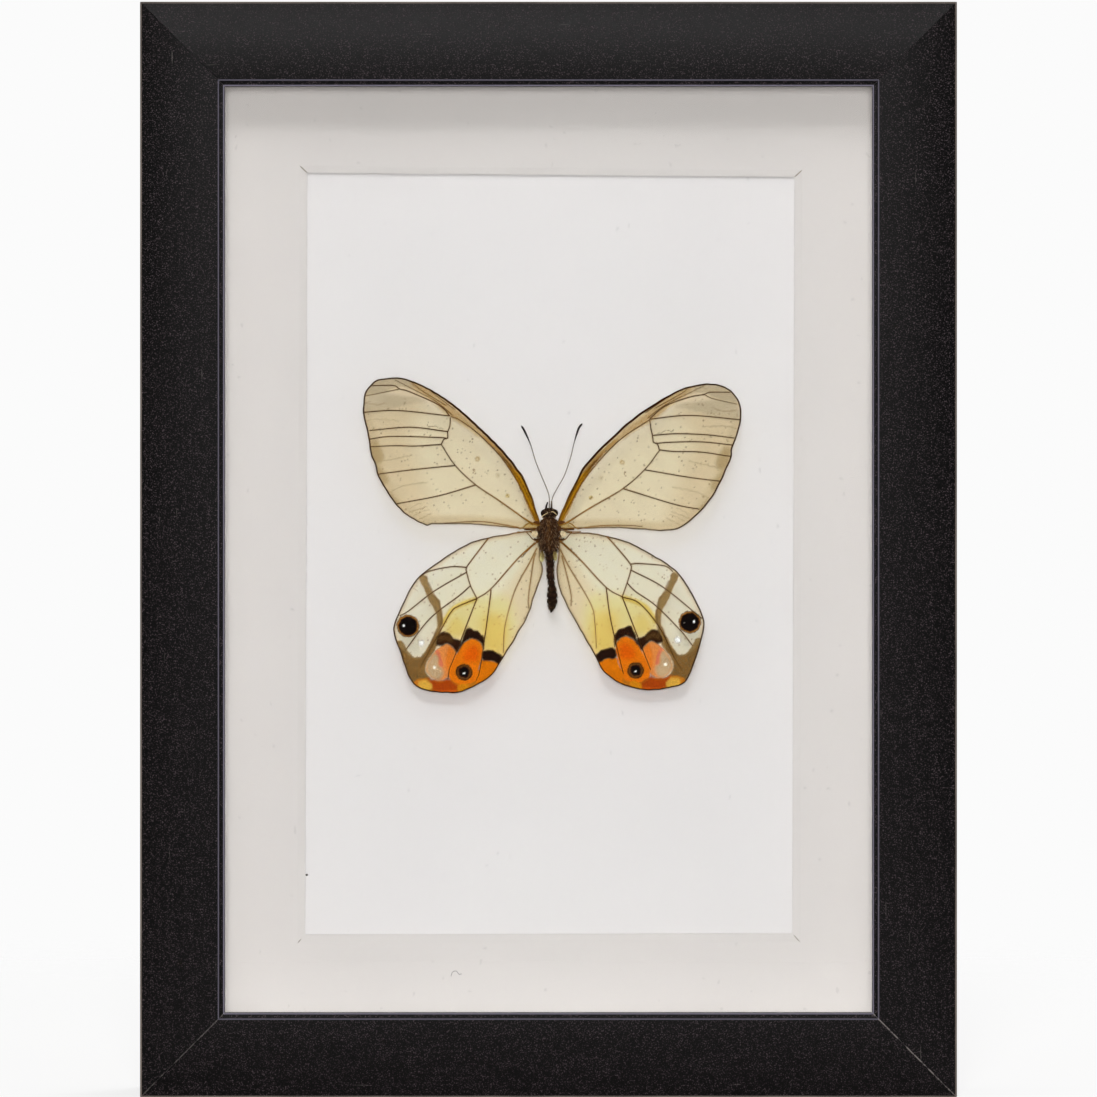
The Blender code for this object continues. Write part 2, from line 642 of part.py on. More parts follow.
def add_butterfly():
    """The specimen, drawn facing +Z and turned to face the front of the frame."""
    specimen = bpy.data.objects.new("specimen", None)
    bpy.context.scene.collection.objects.link(specimen)
    specimen.location = (SPECIMEN_RIGHT, behind_front(SPECIMEN_BACK), SPECIMEN_UP)
    specimen.rotation_euler = (math.pi / 2, 0.0, 0.0)
    add_wing("forewing_left", FOREWING_LEFT, FOREWING_RISE, 0.0, specimen)
    add_wing("forewing_right", FOREWING_RIGHT, FOREWING_RISE, 0.0, specimen)
    add_wing("hindwing_left", HINDWING_LEFT, HINDWING_RISE, HINDWING_TILT, specimen)
    add_wing("hindwing_right", HINDWING_RIGHT, HINDWING_RISE, HINDWING_TILT, specimen)
    add_body(specimen)
    add_antenna("antenna_left", ANTENNA_LEFT, specimen)
    add_antenna("antenna_right", ANTENNA_RIGHT, specimen)
    add_pin(specimen)


def main():
    clear_scene()
    add_frame()
    add_layer("glass_pane", LIP_DEPTH + GAP, GLASS_THICKNESS, "clear_glass", 0.2 * MM)
    add_spacers()
    add_mat()
    add_backing_card()
    add_layer("back_board", BOARD_FRONT, BOARD_THICKNESS, "brown_hardboard", 0.2 * MM)
    add_tabs()
    add_hanger()
    add_butterfly()


main()
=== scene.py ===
import math

import bmesh
import bpy
import numpy as np
from mathutils import Matrix, Vector


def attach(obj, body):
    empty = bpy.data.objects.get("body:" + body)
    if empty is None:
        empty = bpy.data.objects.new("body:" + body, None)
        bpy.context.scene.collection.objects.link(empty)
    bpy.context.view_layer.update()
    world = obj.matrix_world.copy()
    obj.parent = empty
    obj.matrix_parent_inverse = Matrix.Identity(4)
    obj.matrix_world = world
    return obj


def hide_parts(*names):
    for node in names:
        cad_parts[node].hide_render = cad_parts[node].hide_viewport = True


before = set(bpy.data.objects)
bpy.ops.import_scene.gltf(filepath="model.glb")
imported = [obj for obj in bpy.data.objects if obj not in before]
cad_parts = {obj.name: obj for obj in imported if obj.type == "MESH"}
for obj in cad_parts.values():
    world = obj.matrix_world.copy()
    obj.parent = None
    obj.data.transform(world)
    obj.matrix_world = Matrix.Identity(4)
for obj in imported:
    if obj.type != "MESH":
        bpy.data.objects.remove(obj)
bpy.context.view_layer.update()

mm = 0.001
frameWidth, frameHeight, frameDepth = 150.0, 201.2, 35.0
thorax = (0.2, 1.5, 104.2)  # the specimen's origin in the frame, millimetres
rng = np.random.default_rng(7)  # body hair only


def tone(red, green, blue):
    values = (red / 255, green / 255, blue / 255)
    return tuple(v / 12.92 if v <= 0.04045 else ((v + 0.055) / 1.055) ** 2.4 for v in values)


def pairs(numbers):
    # a flat list x, y, x, y, ... as rows of points
    return np.array(numbers, float).reshape(-1, 2)


def curveThrough(points, step, closed=False):
    # a smooth curve through the points, with a corner about every step
    points = np.array(points, float)
    count = len(points)
    route = []
    for i in range(count if closed else count - 1):
        here, there = points[i], points[(i + 1) % count]
        before = points[i - 1] if closed or i > 0 else here * 2 - there
        after = points[(i + 2) % count] if closed or i + 2 < count else there * 2 - here
        pieces = max(1, round(float(np.linalg.norm((there - here)[:2])) / step))
        for k in range(pieces):
            t = k / pieces
            bend = here * 3 - before - there * 3 + after
            sweep = before * 2 - here * 5 + there * 4 - after
            route.append((here * 2 + (there - before) * t + sweep * t**2 + bend * t**3) / 2)
    if not closed:
        route.append(points[-1])
    return np.array(route)


def placed(points):
    # specimen millimetres (right, up, towards the viewer) to metres in the frame
    points = np.asarray(points, float)
    x, y, z = points[..., 0], points[..., 1], points[..., 2]
    return np.stack((thorax[0] + x, thorax[1] - z, thorax[2] + y), axis=-1) * mm


def tubeMesh(routes, radii, resolution=2, closed=False):
    # round tubes along the routes, both in metres
    curve = bpy.data.curves.new("tube", "CURVE")
    curve.dimensions = "3D"
    curve.bevel_depth = 1.0
    curve.bevel_resolution = resolution
    curve.use_fill_caps = True
    for route, radius in zip(routes, radii):
        spline = curve.splines.new("POLY")
        spline.points.add(len(route) - 1)
        corners = np.concatenate((route, np.ones((len(route), 1))), axis=1)
        spline.points.foreach_set("co", corners.ravel())
        spline.points.foreach_set("radius", np.asarray(radius, float).ravel())
        spline.use_cyclic_u = closed
    holder = bpy.data.objects.new("tube", curve)
    mesh = bpy.data.meshes.new_from_object(holder)
    bpy.data.objects.remove(holder)
    return mesh


def settle(name, source, materials, replaced=(), smoothAngle=40.0, paint=None):
    if isinstance(source, bmesh.types.BMesh):
        mesh = bpy.data.meshes.new(name)
        source.to_mesh(mesh)
        source.free()
    else:
        mesh = source
        mesh.name = name
    mesh.materials.clear()
    for material in materials:
        mesh.materials.append(material)
    mesh.polygons.foreach_set("use_smooth", np.ones(len(mesh.polygons), bool))
    mesh.set_sharp_from_angle(angle=math.radians(smoothAngle))
    if paint is not None:
        layer = mesh.attributes.new("paint", "FLOAT_COLOR", "POINT")
        layer.data.foreach_set("color", np.asarray(paint, np.float32).ravel())
    piece = bpy.data.objects.new(name, mesh)
    bpy.context.scene.collection.objects.link(piece)
    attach(piece, "root")
    if replaced:
        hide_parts(*replaced)
    print("made", name, len(mesh.polygons), "faces")


def specimenCorners(mesh):
    # the mesh's corners back in specimen millimetres
    at = np.empty(len(mesh.vertices) * 3, np.float32)
    mesh.vertices.foreach_get("co", at)
    at = at.reshape(-1, 3).astype(float) / mm
    return np.stack((at[:, 0] - thorax[0], at[:, 2] - thorax[2], thorax[1] - at[:, 1]), axis=1)


building = {}  # "tree" is the node tree that put() adds to


def put(kind, inputs=None, **options):
    made = building["tree"].nodes.new("ShaderNode" + kind)
    for key, value in options.items():
        setattr(made, key, value)
    for key, value in (inputs or {}).items():
        socket = made.inputs[key]
        if isinstance(value, bpy.types.NodeSocket):
            building["tree"].links.new(value, socket)
        elif isinstance(value, tuple) and socket.type == "RGBA":
            socket.default_value = (*value, 1.0)
        else:
            socket.default_value = value
    return made


def newMaterial(name):
    material = bpy.data.materials.new(name)
    material.use_nodes = True
    building["tree"] = material.node_tree
    building["tree"].nodes.clear()
    return material, put("TexCoord").outputs["Object"]


def calc(operation, *values):
    return put("Math", dict(enumerate(values)), operation=operation).outputs[0]


def stretched(place, factors):
    return put("VectorMath", {0: place, 1: factors}, operation="MULTIPLY").outputs[0]


def scaled(vector, factor):
    return put("VectorMath", {0: vector, "Scale": factor}, operation="SCALE").outputs[0]


def noiseAt(place, scale, detail=3.0, rough=0.5):
    values = {"Vector": place, "Scale": scale, "Detail": detail, "Roughness": rough}
    return put("TexNoise", values).outputs["Fac"]


def spread(value, low, high, toLow=0.0, toHigh=1.0):
    values = {"Value": value, "From Min": low, "From Max": high, "To Min": toLow, "To Max": toHigh}
    return put("MapRange", values, interpolation_type="SMOOTHSTEP").outputs[0]


def blendTones(share, low, high):
    return put("Mix", {0: share, 6: low, 7: high}, data_type="RGBA").outputs[2]


def darker(base, factor):
    return tuple(v * factor for v in base)


def bumpFrom(height, strength, distance):
    return put("Bump", {"Height": height, "Strength": strength, "Distance": distance}).outputs[0]


def plainSurface(base, roughness, normal=None, **more):
    values = {"Base Color": base, "Roughness": roughness}
    if normal is not None:
        values["Normal"] = normal
    values.update({key.replace("_", " "): value for key, value in more.items()})
    return put("BsdfPrincipled", values).outputs[0]


def finished(material, shader):
    put("OutputMaterial", {"Surface": shader})
    return material


railLook = {
    "faceWidth": 14.5, "lipWidth": 1.0, "lipStep": 0.9, "glassSeat": 3.5, "wallWidth": 10.0,
    "outerArris": 0.34, "lipArris": 0.24, "stepArris": 0.12, "backArris": 0.3, "wallArris": 0.2,
    "mitreGap": 0.03,
    "dark": tone(2, 1, 1), "light": tone(84, 73, 77), "wearAndHighlight": tone(150, 143, 138),
    "edgeWearAndHighlight": tone(150, 137, 127), "lipPaintedHighlight": tone(142, 137, 154), "roughness": 0.42, "gloss": 0.29,
    "poreScale": 4300.0, "poreShare": 0.9, "poreLimits": (0.54, 0.72), "grainDepth": 0.00002,
    # metres: where each mark fades out and where it is full: the mitres' painted highlight, the front arris's
    # rubbed foil with its painted highlight, and the lip's painted highlight lines
    "mitreHighlightFade": (0.00024, 0.00008), "arrisWearAndHighlight": (0.00040, 0.00022), "lipHighlightFade": (0.00016, 0.00006),
    # painted highlight lines along the lip's arrises: metres from the rail's outer side, and strength
    "lipHighlightLines": [(0.0144, 0.55), (0.01534, 0.8)],  # metres from the rail's outer side, and strength
}


def foilMaterial(name, stretch, look):
    material, place = newMaterial(name)
    grain = noiseAt(stretched(place, stretch), 1.0, 4.0, 0.6)
    cloud = noiseAt(place, 60.0, 2.0)
    specks = noiseAt(stretched(place, tuple(v * 2.2 for v in stretch)), 1.0, 1.0)
    pores = calc("MULTIPLY", noiseAt(place, look["poreScale"], 1.0, 0.6), look["poreShare"])
    mixed = calc("MULTIPLY_ADD", grain, 1.0 - look["poreShare"], pores)
    base = blendTones(spread(mixed, *look["poreLimits"]), look["dark"], look["light"])
    base = blendTones(spread(specks, 0.76, 0.86, 0.0, 0.3), base, look["wearAndHighlight"])
    right, back, up = put("SeparateXYZ", {0: place}).outputs
    across = calc("SUBTRACT", frameWidth * mm / 2, calc("ABSOLUTE", right))
    along = calc("MINIMUM", up, calc("SUBTRACT", frameHeight * mm, up))
    # painted highlight along the mitres, only at the bottom and more on the right, broken up by noise
    nearMitre = spread(calc("ABSOLUTE", calc("SUBTRACT", across, along)), *look["mitreHighlightFade"])
    broken = spread(noiseAt(place, 1500.0, 2.0), 0.38, 0.58)
    side = calc("MULTIPLY_ADD", calc("GREATER_THAN", right, 0.0), 0.5, 0.3)
    lower = calc("MULTIPLY", calc("LESS_THAN", up, 0.1), side)
    mitreHighlight = calc("MULTIPLY", calc("MULTIPLY", nearMitre, broken), lower)
    base = blendTones(mitreHighlight, base, look["wearAndHighlight"])
    # the arris round the front: rubbed foil with a painted highlight
    inward = calc("MINIMUM", across, along)
    atFront = calc("LESS_THAN", back, (0.5 - frameDepth / 2) * mm)
    rim = calc("MULTIPLY", spread(inward, *look["arrisWearAndHighlight"], 0.0, 0.9), atFront)
    rim = calc("MULTIPLY", rim, spread(cloud, 0.3, 0.7, 0.5, 1.0))
    base = blendTones(rim, base, look["edgeWearAndHighlight"])
    # the lip's arrises get painted highlight lines
    for edge, strength in look["lipHighlightLines"]:
        toLine = calc("ABSOLUTE", calc("SUBTRACT", inward, edge))
        base = blendTones(spread(toLine, *look["lipHighlightFade"], 0.0, strength), base, look["lipPaintedHighlight"])
    roughness = spread(mixed, 0.3, 0.7, look["roughness"] - 0.06, look["roughness"] + 0.08)
    normal = bumpFrom(mixed, 0.6, look["grainDepth"])
    return finished(material, plainSurface(base, roughness, normal, Specular_IOR_Level=look["gloss"]))


def makeRail(name, length, middle, turn, material, look):
    face, lip, step = look["faceWidth"], look["lipWidth"], look["lipStep"]
    inner = face + lip
    outline = [
        (0.0, 0.0), (face, 0.0), (face, step), (inner, step), (inner, look["glassSeat"]),
        (look["wallWidth"], look["glassSeat"]), (look["wallWidth"], frameDepth), (0.0, frameDepth),
    ]
    bm = bmesh.new()
    half = length / 2
    ends = [bm.verts.new((-half, back - frameDepth / 2, inward)) for inward, back in outline]
    grown = bmesh.ops.extrude_face_region(bm, geom=[bm.faces.new(ends)])
    moved = [part for part in grown["geom"] if isinstance(part, bmesh.types.BMVert)]
    bmesh.ops.translate(bm, verts=moved, vec=(length, 0.0, 0.0))
    bmesh.ops.recalc_face_normals(bm, faces=bm.faces[:])
    arrises = [
        (0.0, 0.0, look["outerArris"]), (face, 0.0, look["lipArris"]), (inner, step, look["lipArris"]),
        (face, step, look["stepArris"]), (0.0, frameDepth, look["backArris"]),
        (look["wallWidth"], frameDepth, look["wallArris"]),
    ]
    for inward, back, width in arrises:
        line = [
            edge for edge in bm.edges
            if all(abs(v.co.z - inward) + abs(v.co.y - back + frameDepth / 2) < 1e-4 for v in edge.verts)
        ]
        bmesh.ops.bevel(bm, geom=line, offset=width, segments=4, profile=0.5, affect="EDGES", material=-1)
    for side in (-1, 1):
        parts = bm.verts[:] + bm.edges[:] + bm.faces[:]
        point, normal = (side * (half - look["mitreGap"]), 0.0, 0.0), (side, 0.0, 1.0)
        cut = bmesh.ops.bisect_plane(bm, geom=parts, plane_co=point, plane_no=normal, clear_outer=True)
        loop = [part for part in cut["geom_cut"] if isinstance(part, bmesh.types.BMEdge)]
        bmesh.ops.contextual_create(bm, geom=loop)
    bmesh.ops.recalc_face_normals(bm, faces=bm.faces[:])
    turned = Matrix.Translation(Vector(middle) * mm) @ Matrix.Rotation(turn, 4, "Y") @ Matrix.Scale(mm, 4)
    bmesh.ops.transform(bm, matrix=turned, verts=bm.verts[:])
    settle("foil_" + name, bm, [material], [name], 30.0)


foilAcross = foilMaterial("foilAcross", (70.0, 1500.0, 1500.0), railLook)
foilUpright = foilMaterial("foilUpright", (1500.0, 1500.0, 70.0), railLook)
across, upright = frameWidth / 2, frameHeight / 2
for name, length, middle, turn, foil in (
    ("rail_bottom", frameWidth, (0.0, 0.0, 0.0), 0.0, foilAcross),
    ("rail_right", frameHeight, (across, 0.0, upright), -math.pi / 2, foilUpright),
    ("rail_top", frameWidth, (0.0, 0.0, frameHeight), math.pi, foilAcross),
    ("rail_left", frameHeight, (-across, 0.0, upright), math.pi / 2, foilUpright),
):
    makeRail(name, length, middle, turn, foil, railLook)

boardLook = {
    "glassTint": (0.985, 0.995, 0.99), "mat": (0.757, 0.713, 0.696), "core": (1.0, 0.975, 0.91),
    "card": (0.865, 0.832, 0.835), "foam": (0.92, 0.90, 0.88), "hardboard": tone(132, 96, 66),
    "hardboardMottle": tone(168, 130, 92), "zinc": tone(196, 197, 195), "pin": tone(176, 176, 178),
}


def glassMaterial(look):
    material, place = newMaterial("pictureGlass")
    smear = noiseAt(place, 35.0, 3.0)
    base = blendTones(smear, look["glassTint"], (1.0, 1.0, 1.0))
    roughness = spread(smear, 0.4, 0.8, 0.0, 0.012)
    clear = plainSurface(base, roughness, Transmission_Weight=1.0, IOR=1.46)
    shadow = put("LightPath").outputs["Is Shadow Ray"]
    lit = put("BsdfTransparent", {"Color": (0.97, 0.98, 0.975)}).outputs[0]
    return finished(material, put("MixShader", {0: shadow, 1: clear, 2: lit}).outputs[0])


def paperMaterial(name, base, fibre, fibreDepth, blotch=0.03, roughness=0.85):
    material, place = newMaterial(name)
    fine = noiseAt(place, fibre, 4.0, 0.6)
    wide = noiseAt(place, 45.0, 2.0)
    mixed = calc("MULTIPLY_ADD", fine, 0.5, calc("MULTIPLY", wide, 0.5))
    colour = blendTones(mixed, darker(base, 1.0 - blotch), base)
    specks = spread(noiseAt(place, 900.0, 0.0), 0.80, 0.86, 0.0, 0.35)
    colour = blendTones(specks, colour, darker(base, 0.72))
    rough = spread(fine, 0.3, 0.7, roughness - 0.05, roughness + 0.08)
    return finished(material, plainSurface(colour, rough, bumpFrom(fine, 0.3, fibreDepth)))


def hardboardMaterial(look):
    material, place = newMaterial("brownHardboard")
    fibre = noiseAt(stretched(place, (1.0, 1.0, 2.4)), 520.0, 6.0, 0.7)
    mottle = noiseAt(place, 70.0, 3.0)
    brown = look["hardboard"]
    base = blendTones(spread(fibre, 0.3, 0.7), darker(brown, 0.55), brown)
    base = blendTones(spread(mottle, 0.45, 0.75, 0.0, 0.35), base, look["hardboardMottle"])
    roughness, normal = spread(fibre, 0.2, 0.8, 0.6, 0.9), bumpFrom(fibre, 0.5, 0.0001)
    return finished(material, plainSurface(base, roughness, normal))


def zincMaterial(name, base):
    material, place = newMaterial(name)
    spangle = put("TexVoronoi", {"Vector": place, "Scale": 420.0}).outputs["Distance"]
    scratches = noiseAt(stretched(place, (90.0, 900.0, 2600.0)), 1.0, 3.0)
    colour = blendTones(spread(spangle, 0.1, 0.7), base, darker(base, 0.7))
    rough = spread(scratches, 0.3, 0.7, 0.28, 0.46)
    normal = bumpFrom(scratches, 0.2, 0.00002)
    return finished(material, plainSurface(colour, rough, normal, Metallic=1.0))


def dress(nodes, material):
    for name in nodes:
        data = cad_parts[name].data
        for i in range(len(data.materials)):
            data.materials[i] = material
        if not len(data.materials):
            data.materials.append(material)


matPaper = paperMaterial("matPaper", boardLook["mat"], 2600.0, 0.00004)
matCore = paperMaterial("matCore", boardLook["core"], 3200.0, 0.00003, 0.05)
dress(["glass_pane"], glassMaterial(boardLook))
dress(["backing_card"], paperMaterial("smoothCard", boardLook["card"], 3000.0, 0.00002, 0.025))
foam = paperMaterial("foamBoard", boardLook["foam"], 1800.0, 0.00005)
dress(["spacer_left", "spacer_right", "spacer_top", "spacer_bottom"], foam)
dress(["back_board"], hardboardMaterial(boardLook))
tabs = ["tab_bottom_left", "tab_bottom_right", "tab_right", "tab_top_right", "tab_top_left", "tab_left"]
dress(tabs + ["sawtooth_hanger"], zincMaterial("zincPlate", boardLook["zinc"]))
dress(["insect_pin"], zincMaterial("pinSteel", boardLook["pin"]))

matLook = {
    "outer": [(-64.4, 10.6), (64.4, 10.6), (64.4, 190.6), (-64.4, 190.6)],
    "window": [(-46.8, 27.2), (46.9, 27.4), (47.3, 171.4), (-46.4, 172.2)],
    "bevels": [1.6, 1.4, 1.3, 1.4],  # bottom, right, top, left
    "front": 26.0, "back": 27.4, "bevelFoot": 26.45,  # behind the frame's front
    # the bevel's corner lines carry a painted shade
    "edge": 0.06, "cutShadeTone": tone(150, 140, 124),
    "cutShares": (0.45, 0.8, 1.0, 1.0), "cutRadii": [0.05, 0.10, 0.11, 0.10, 0.09, 0.04],
}


def insetCorners(window, bevels):
    window = [Vector(p) for p in window]
    moved = []
    for i, start in enumerate(window):
        along = (window[(i + 1) % 4] - start).normalized()
        moved.append((start + Vector((-along.y, along.x)) * bevels[i], along))
    inset = []
    for i in range(4):
        (point, along), (before, alongBefore) = moved[i], moved[i - 1]
        inset.append(point + along * ((before - point).cross(alongBefore) / along.cross(alongBefore)))
    return [tuple(p) for p in inset]


def makeMat(look):
    bm = bmesh.new()
    inner = insetCorners(look["window"], look["bevels"])
    front, back, foot = (look[key] - frameDepth / 2 for key in ("front", "back", "bevelFoot"))
    rings = []
    outer, window = look["outer"], look["window"]
    for outline, y in ((outer, front), (window, front), (inner, foot), (inner, back), (outer, back)):
        ring = [bm.verts.new((x * mm, y * mm, z * mm)) for x, z in outline]
        rings.append([bm.edges.new((ring[i], ring[(i + 1) % 4])) for i in range(4)])
    for i in range(len(rings)):
        bmesh.ops.bridge_loops(bm, edges=rings[i] + rings[(i + 1) % len(rings)])
    bmesh.ops.recalc_face_normals(bm, faces=bm.faces[:])
    lip = [e for e in rings[1] if e.is_valid]
    bmesh.ops.bevel(bm, geom=lip, offset=look["edge"] * mm, segments=2, profile=0.5, affect="EDGES")
    bm.normal_update()
    for face in bm.faces:
        face.material_index = int(abs(face.normal.y) < 0.99)  # the cut shows the core
    settle("windowMat", bm, [matPaper, matCore], ["mat_board"], 25.0)
    # thin strips along the bevel's corner lines, coloured in a painted shade
    routes, radii = [], []
    for i, (start, end) in enumerate(zip(look["window"], inner)):
        near = Vector((start[0], front, start[1]))
        far = Vector((end[0], foot - 0.02, end[1]))
        line = [near.lerp(far, look["cutShares"][i] * k / 5 + 0.02) for k in range(6)]
        routes.append(np.array([tuple(p) for p in line]) * mm)
        radii.append(np.array(look["cutRadii"]) * mm * (0.8 if i < 2 else 1.0))
    cornerShade = paperMaterial("cutCornerShade", look["cutShadeTone"], 3000.0, 0.00003)
    settle("matCutCornerShade", tubeMesh(routes, radii), [cornerShade])


makeMat(matLook)

dustLook = {
    "tone": tone(70, 62, 54),
    "hair": [(-18.2, 21.0), (-17.9, 21.8), (-17.2, 22.0), (-16.7, 21.4), (-16.2, 21.5)],
    "hairBehind": 25.94, "hairRadius": 0.045,
    # right, up, behind the frame's front, radius
    "dots": [
        (-45.1, 39.9, 26.6, 0.26), (52.0, 60.0, 25.96, 0.07), (-55.0, 120.0, 25.96, 0.08),
        (20.0, 182.0, 25.96, 0.07),
    ],
}


def makeDust(look):
    route = curveThrough([(x, z, 0.0) for x, z in look["hair"]], 0.2)
    behind = np.full(len(route), look["hairBehind"] - frameDepth / 2)
    route = np.stack((route[:, 0], behind, route[:, 1]), axis=1) * mm
    mesh = tubeMesh([route], [np.full(len(route), look["hairRadius"] * mm)], 1)
    bm = bmesh.new()
    bm.from_mesh(mesh)
    for x, z, back, radius in look["dots"]:
        at = Matrix.Translation(Vector((x, back - frameDepth / 2, z)) * mm) @ Matrix.Diagonal((1, 0.4, 0.8, 1))
        bmesh.ops.create_icosphere(bm, subdivisions=2, radius=radius * mm, matrix=at)
    dust = paperMaterial("dustBrown", look["tone"], 6000.0, 0.00002, 0.3)
    settle("dustSpecks", bm, [dust])


makeDust(dustLook)

# Each layer of the wings' painting: kind, shape, tone, cover, softness, strength, and a line's or ring's width.
# An area or a line is a flat list x, y, x, y, ...; a spot or a ring is x, y, radius; a rim is its width; all in
# millimetres from the thorax.
forewingLayers = [
    ("area", [-22, 28, -36, 29, -36, 14, -31, 8, -25, 0, -21, 0, -24, 10, -26, 18], (207, 191, 155), 0.16, 5.0,
        1.0),
    ("rim", 1.6, (200, 181, 142), 0.25, 1.4, 0.9),
    ("area", [-34.3, 21.9, -34.4, 24.5, -31.4, 25.2, -26.7, 25, -23.9, 24.5, -22.9, 23.8, -26.7, 23.3,
        -30.3, 22.1], (192, 176, 143), 0.35, 0.8, 0.8),
    ("area", [-34.4, 25, -34.2, 26.2, -32.9, 27.4, -30.5, 28.2, -28.1, 28.4, -25.6, 27.6, -22.4, 25.9,
        -24.9, 26.2, -28.1, 26.6, -30.5, 25.6], (183, 166, 132), 0.5, 0.5, 0.95),
    ("area", [-33.8, 25, -31, 25.6, -27, 24.6, -25.4, 23.2, -28, 22.7, -31.5, 23.4], (176, 164, 134), 0.3, 1.5,
        0.4),
    ("area", [-2.1, 1.6, -2.8, 4.6, -3.6, 7.2, -4.8, 9.6, -6.6, 12.1, -8.9, 14.8, -11.5, 17.2, -14.1, 19.5,
        -17.2, 22, -19.8, 24.2, -22.2, 25.9, -24.3, 27.1, -25.8, 27.7, -25, 26.4, -22, 24.3, -19.6, 22.1,
        -17.7, 20.7, -15.3, 19.3, -13.4, 17.9, -11.1, 15.7, -9.2, 13.8, -7.7, 12, -6.3, 9.6, -5.1, 7, -3.7, 3.4,
        -3, 1.9], (178, 142, 84), 0.8, 0.35, 1.0),
    ("area", [-11.5, 17.6, -14.1, 19.9, -17.2, 22.4, -19.8, 24.6, -22.2, 26.3, -25.8, 27.9, -25, 26, -22, 23.9,
        -19.6, 21.7, -15.3, 18.9, -13.4, 17.5], (194, 164, 114), 0.6, 0.9, 0.8),
    ("area", [-2.6, 3.5, -3.4, 6, -4.7, 8.8, -6.4, 11.3, -9.6, 14.9, -9.4, 14.2, -7.6, 11.6, -5.6, 8.2, -4, 4.6],
        (120, 80, 22), 0.95, 0.3, 0.85),
    ("area", [-1.8, 1, -2.6, 1.7, -3.7, 4.1, -5.15, 7.1, -6.3, 9.5, -7.8, 12.3, -6, 10.7, -4.5, 8.6, -3.3, 6,
        -2.4, 3.4, -1.7, 1.6], (176, 124, 10), 0.995, 0.22, 1.0),
    ("line", [-1.7, 1.3, -3.05, 4.4, -4.85, 8.15, -6.3, 10.5, -8.6, 13.5], (74, 42, 6), 0.99, 0.12, 0.8, 0.06),
    ("line", [-1.75, 1, -3.5, 4, -4.95, 7, -6.1, 9.4, -7.6, 12.1], (96, 56, 8), 0.99, 0.12, 0.8, 0.05),
    ("line", [-2.2, 2, -3.5, 4.9, -5.3, 8.3, -6.9, 11], (148, 98, 10), 0.99, 0.12, 0.6, 0.04),
    ("area", [-1.8, 1.2, -3.4, 1.5, -4.8, 0.7, -4.2, 0.3, -2, 0.3], (192, 160, 88), 0.55, 0.6, 0.85),
    ("area", [-33.3, 16.2, -32.2, 16.7, -31.4, 15.5, -30.7, 13.6, -31.7, 12.4, -32.9, 13.1], (166, 138, 82), 0.5,
        1.1, 0.65),
    ("area", [-32.2, 12.2, -31.1, 11.2, -30.1, 10.1, -30, 8.9, -31, 8.6, -31.9, 10.5], (174, 147, 92), 0.5, 1.1,
        0.6),
    ("area", [-29.6, 7.2, -28.6, 6, -27.8, 5.1, -28.4, 4.7, -29.3, 5.6], (160, 134, 84), 0.5, 0.9, 0.6),
    ("line", [-34.3, 23.6, -32, 23.3, -30.3, 23.7], (160, 138, 98), 0.5, 0.12, 0.5, 0.06),
    ("line", [-34.3, 20.2, -32, 20.6, -28, 20.3], (176, 155, 114), 0.4, 0.15, 0.5, 0.06),
    ("line", [-32.3, 12.7, -29.5, 13.1, -25.6, 13.9], (184, 163, 122), 0.4, 0.15, 0.6, 0.06),
    ("line", [-29.7, 7.1, -27.2, 8.2, -22.9, 8.9], (184, 163, 122), 0.4, 0.15, 0.6, 0.06),
    ("line", [-26, 3.3, -22.9, 4.4], (178, 156, 114), 0.4, 0.12, 0.6, 0.05),
    ("line", [-24.3, 2, -22, 3.1], (178, 156, 114), 0.4, 0.12, 0.6, 0.05),
    ("spot", (-14.0, 11.3, 0.2), (140, 94, 36), 0.7, 0.15, 0.8),
    ("spot", (-14.1, 10.7, 0.14), (146, 100, 40), 0.7, 0.14, 0.7),
    ("spot", (-13.2, 13.4, 0.3), (186, 150, 76), 0.4, 0.5, 0.5),
    ("spot", (-9.6, 10.2, 0.35), (182, 158, 108), 0.4, 0.6, 0.6),
    ("spot", (-25.8, 17.5, 0.15), (140, 94, 36), 0.7, 0.12, 0.8),
    ("spot", (-10.3, 15.2, 0.15), (120, 92, 52), 0.7, 0.12, 0.8),
    ("ring", (-13.4, 13.2, 0.3), (176, 142, 70), 0.5, 0.2, 0.6, 0.05),
    ("spot", (-13.9, 11.0, 0.12), (140, 100, 36), 0.8, 0.12, 0.8),
    ("spot", (-7.8, 6.45, 0.34), (200, 172, 90), 0.5, 0.25, 0.8),
    ("spot", (-7.9, 6.5, 0.1), (96, 62, 16), 0.9, 0.1, 0.9),
    ("spot", (-7.65, 6.2, 0.09), (96, 62, 16), 0.9, 0.1, 0.9),
    ("line", [-22.7, 19.6, -22.4, 19.2, -21.2, 19.3, -19.8, 18.7], (120, 92, 46), 0.7, 0.08, 0.7, 0.03),
    ("line", [-25.9, 4, -24.6, 4.8, -23.8, 5], (190, 168, 126), 0.4, 0.12, 0.6, 0.04),
    ("line", [-25.2, 2.7, -23.8, 3.4, -22.4, 3.8], (190, 168, 126), 0.4, 0.12, 0.6, 0.04),
]
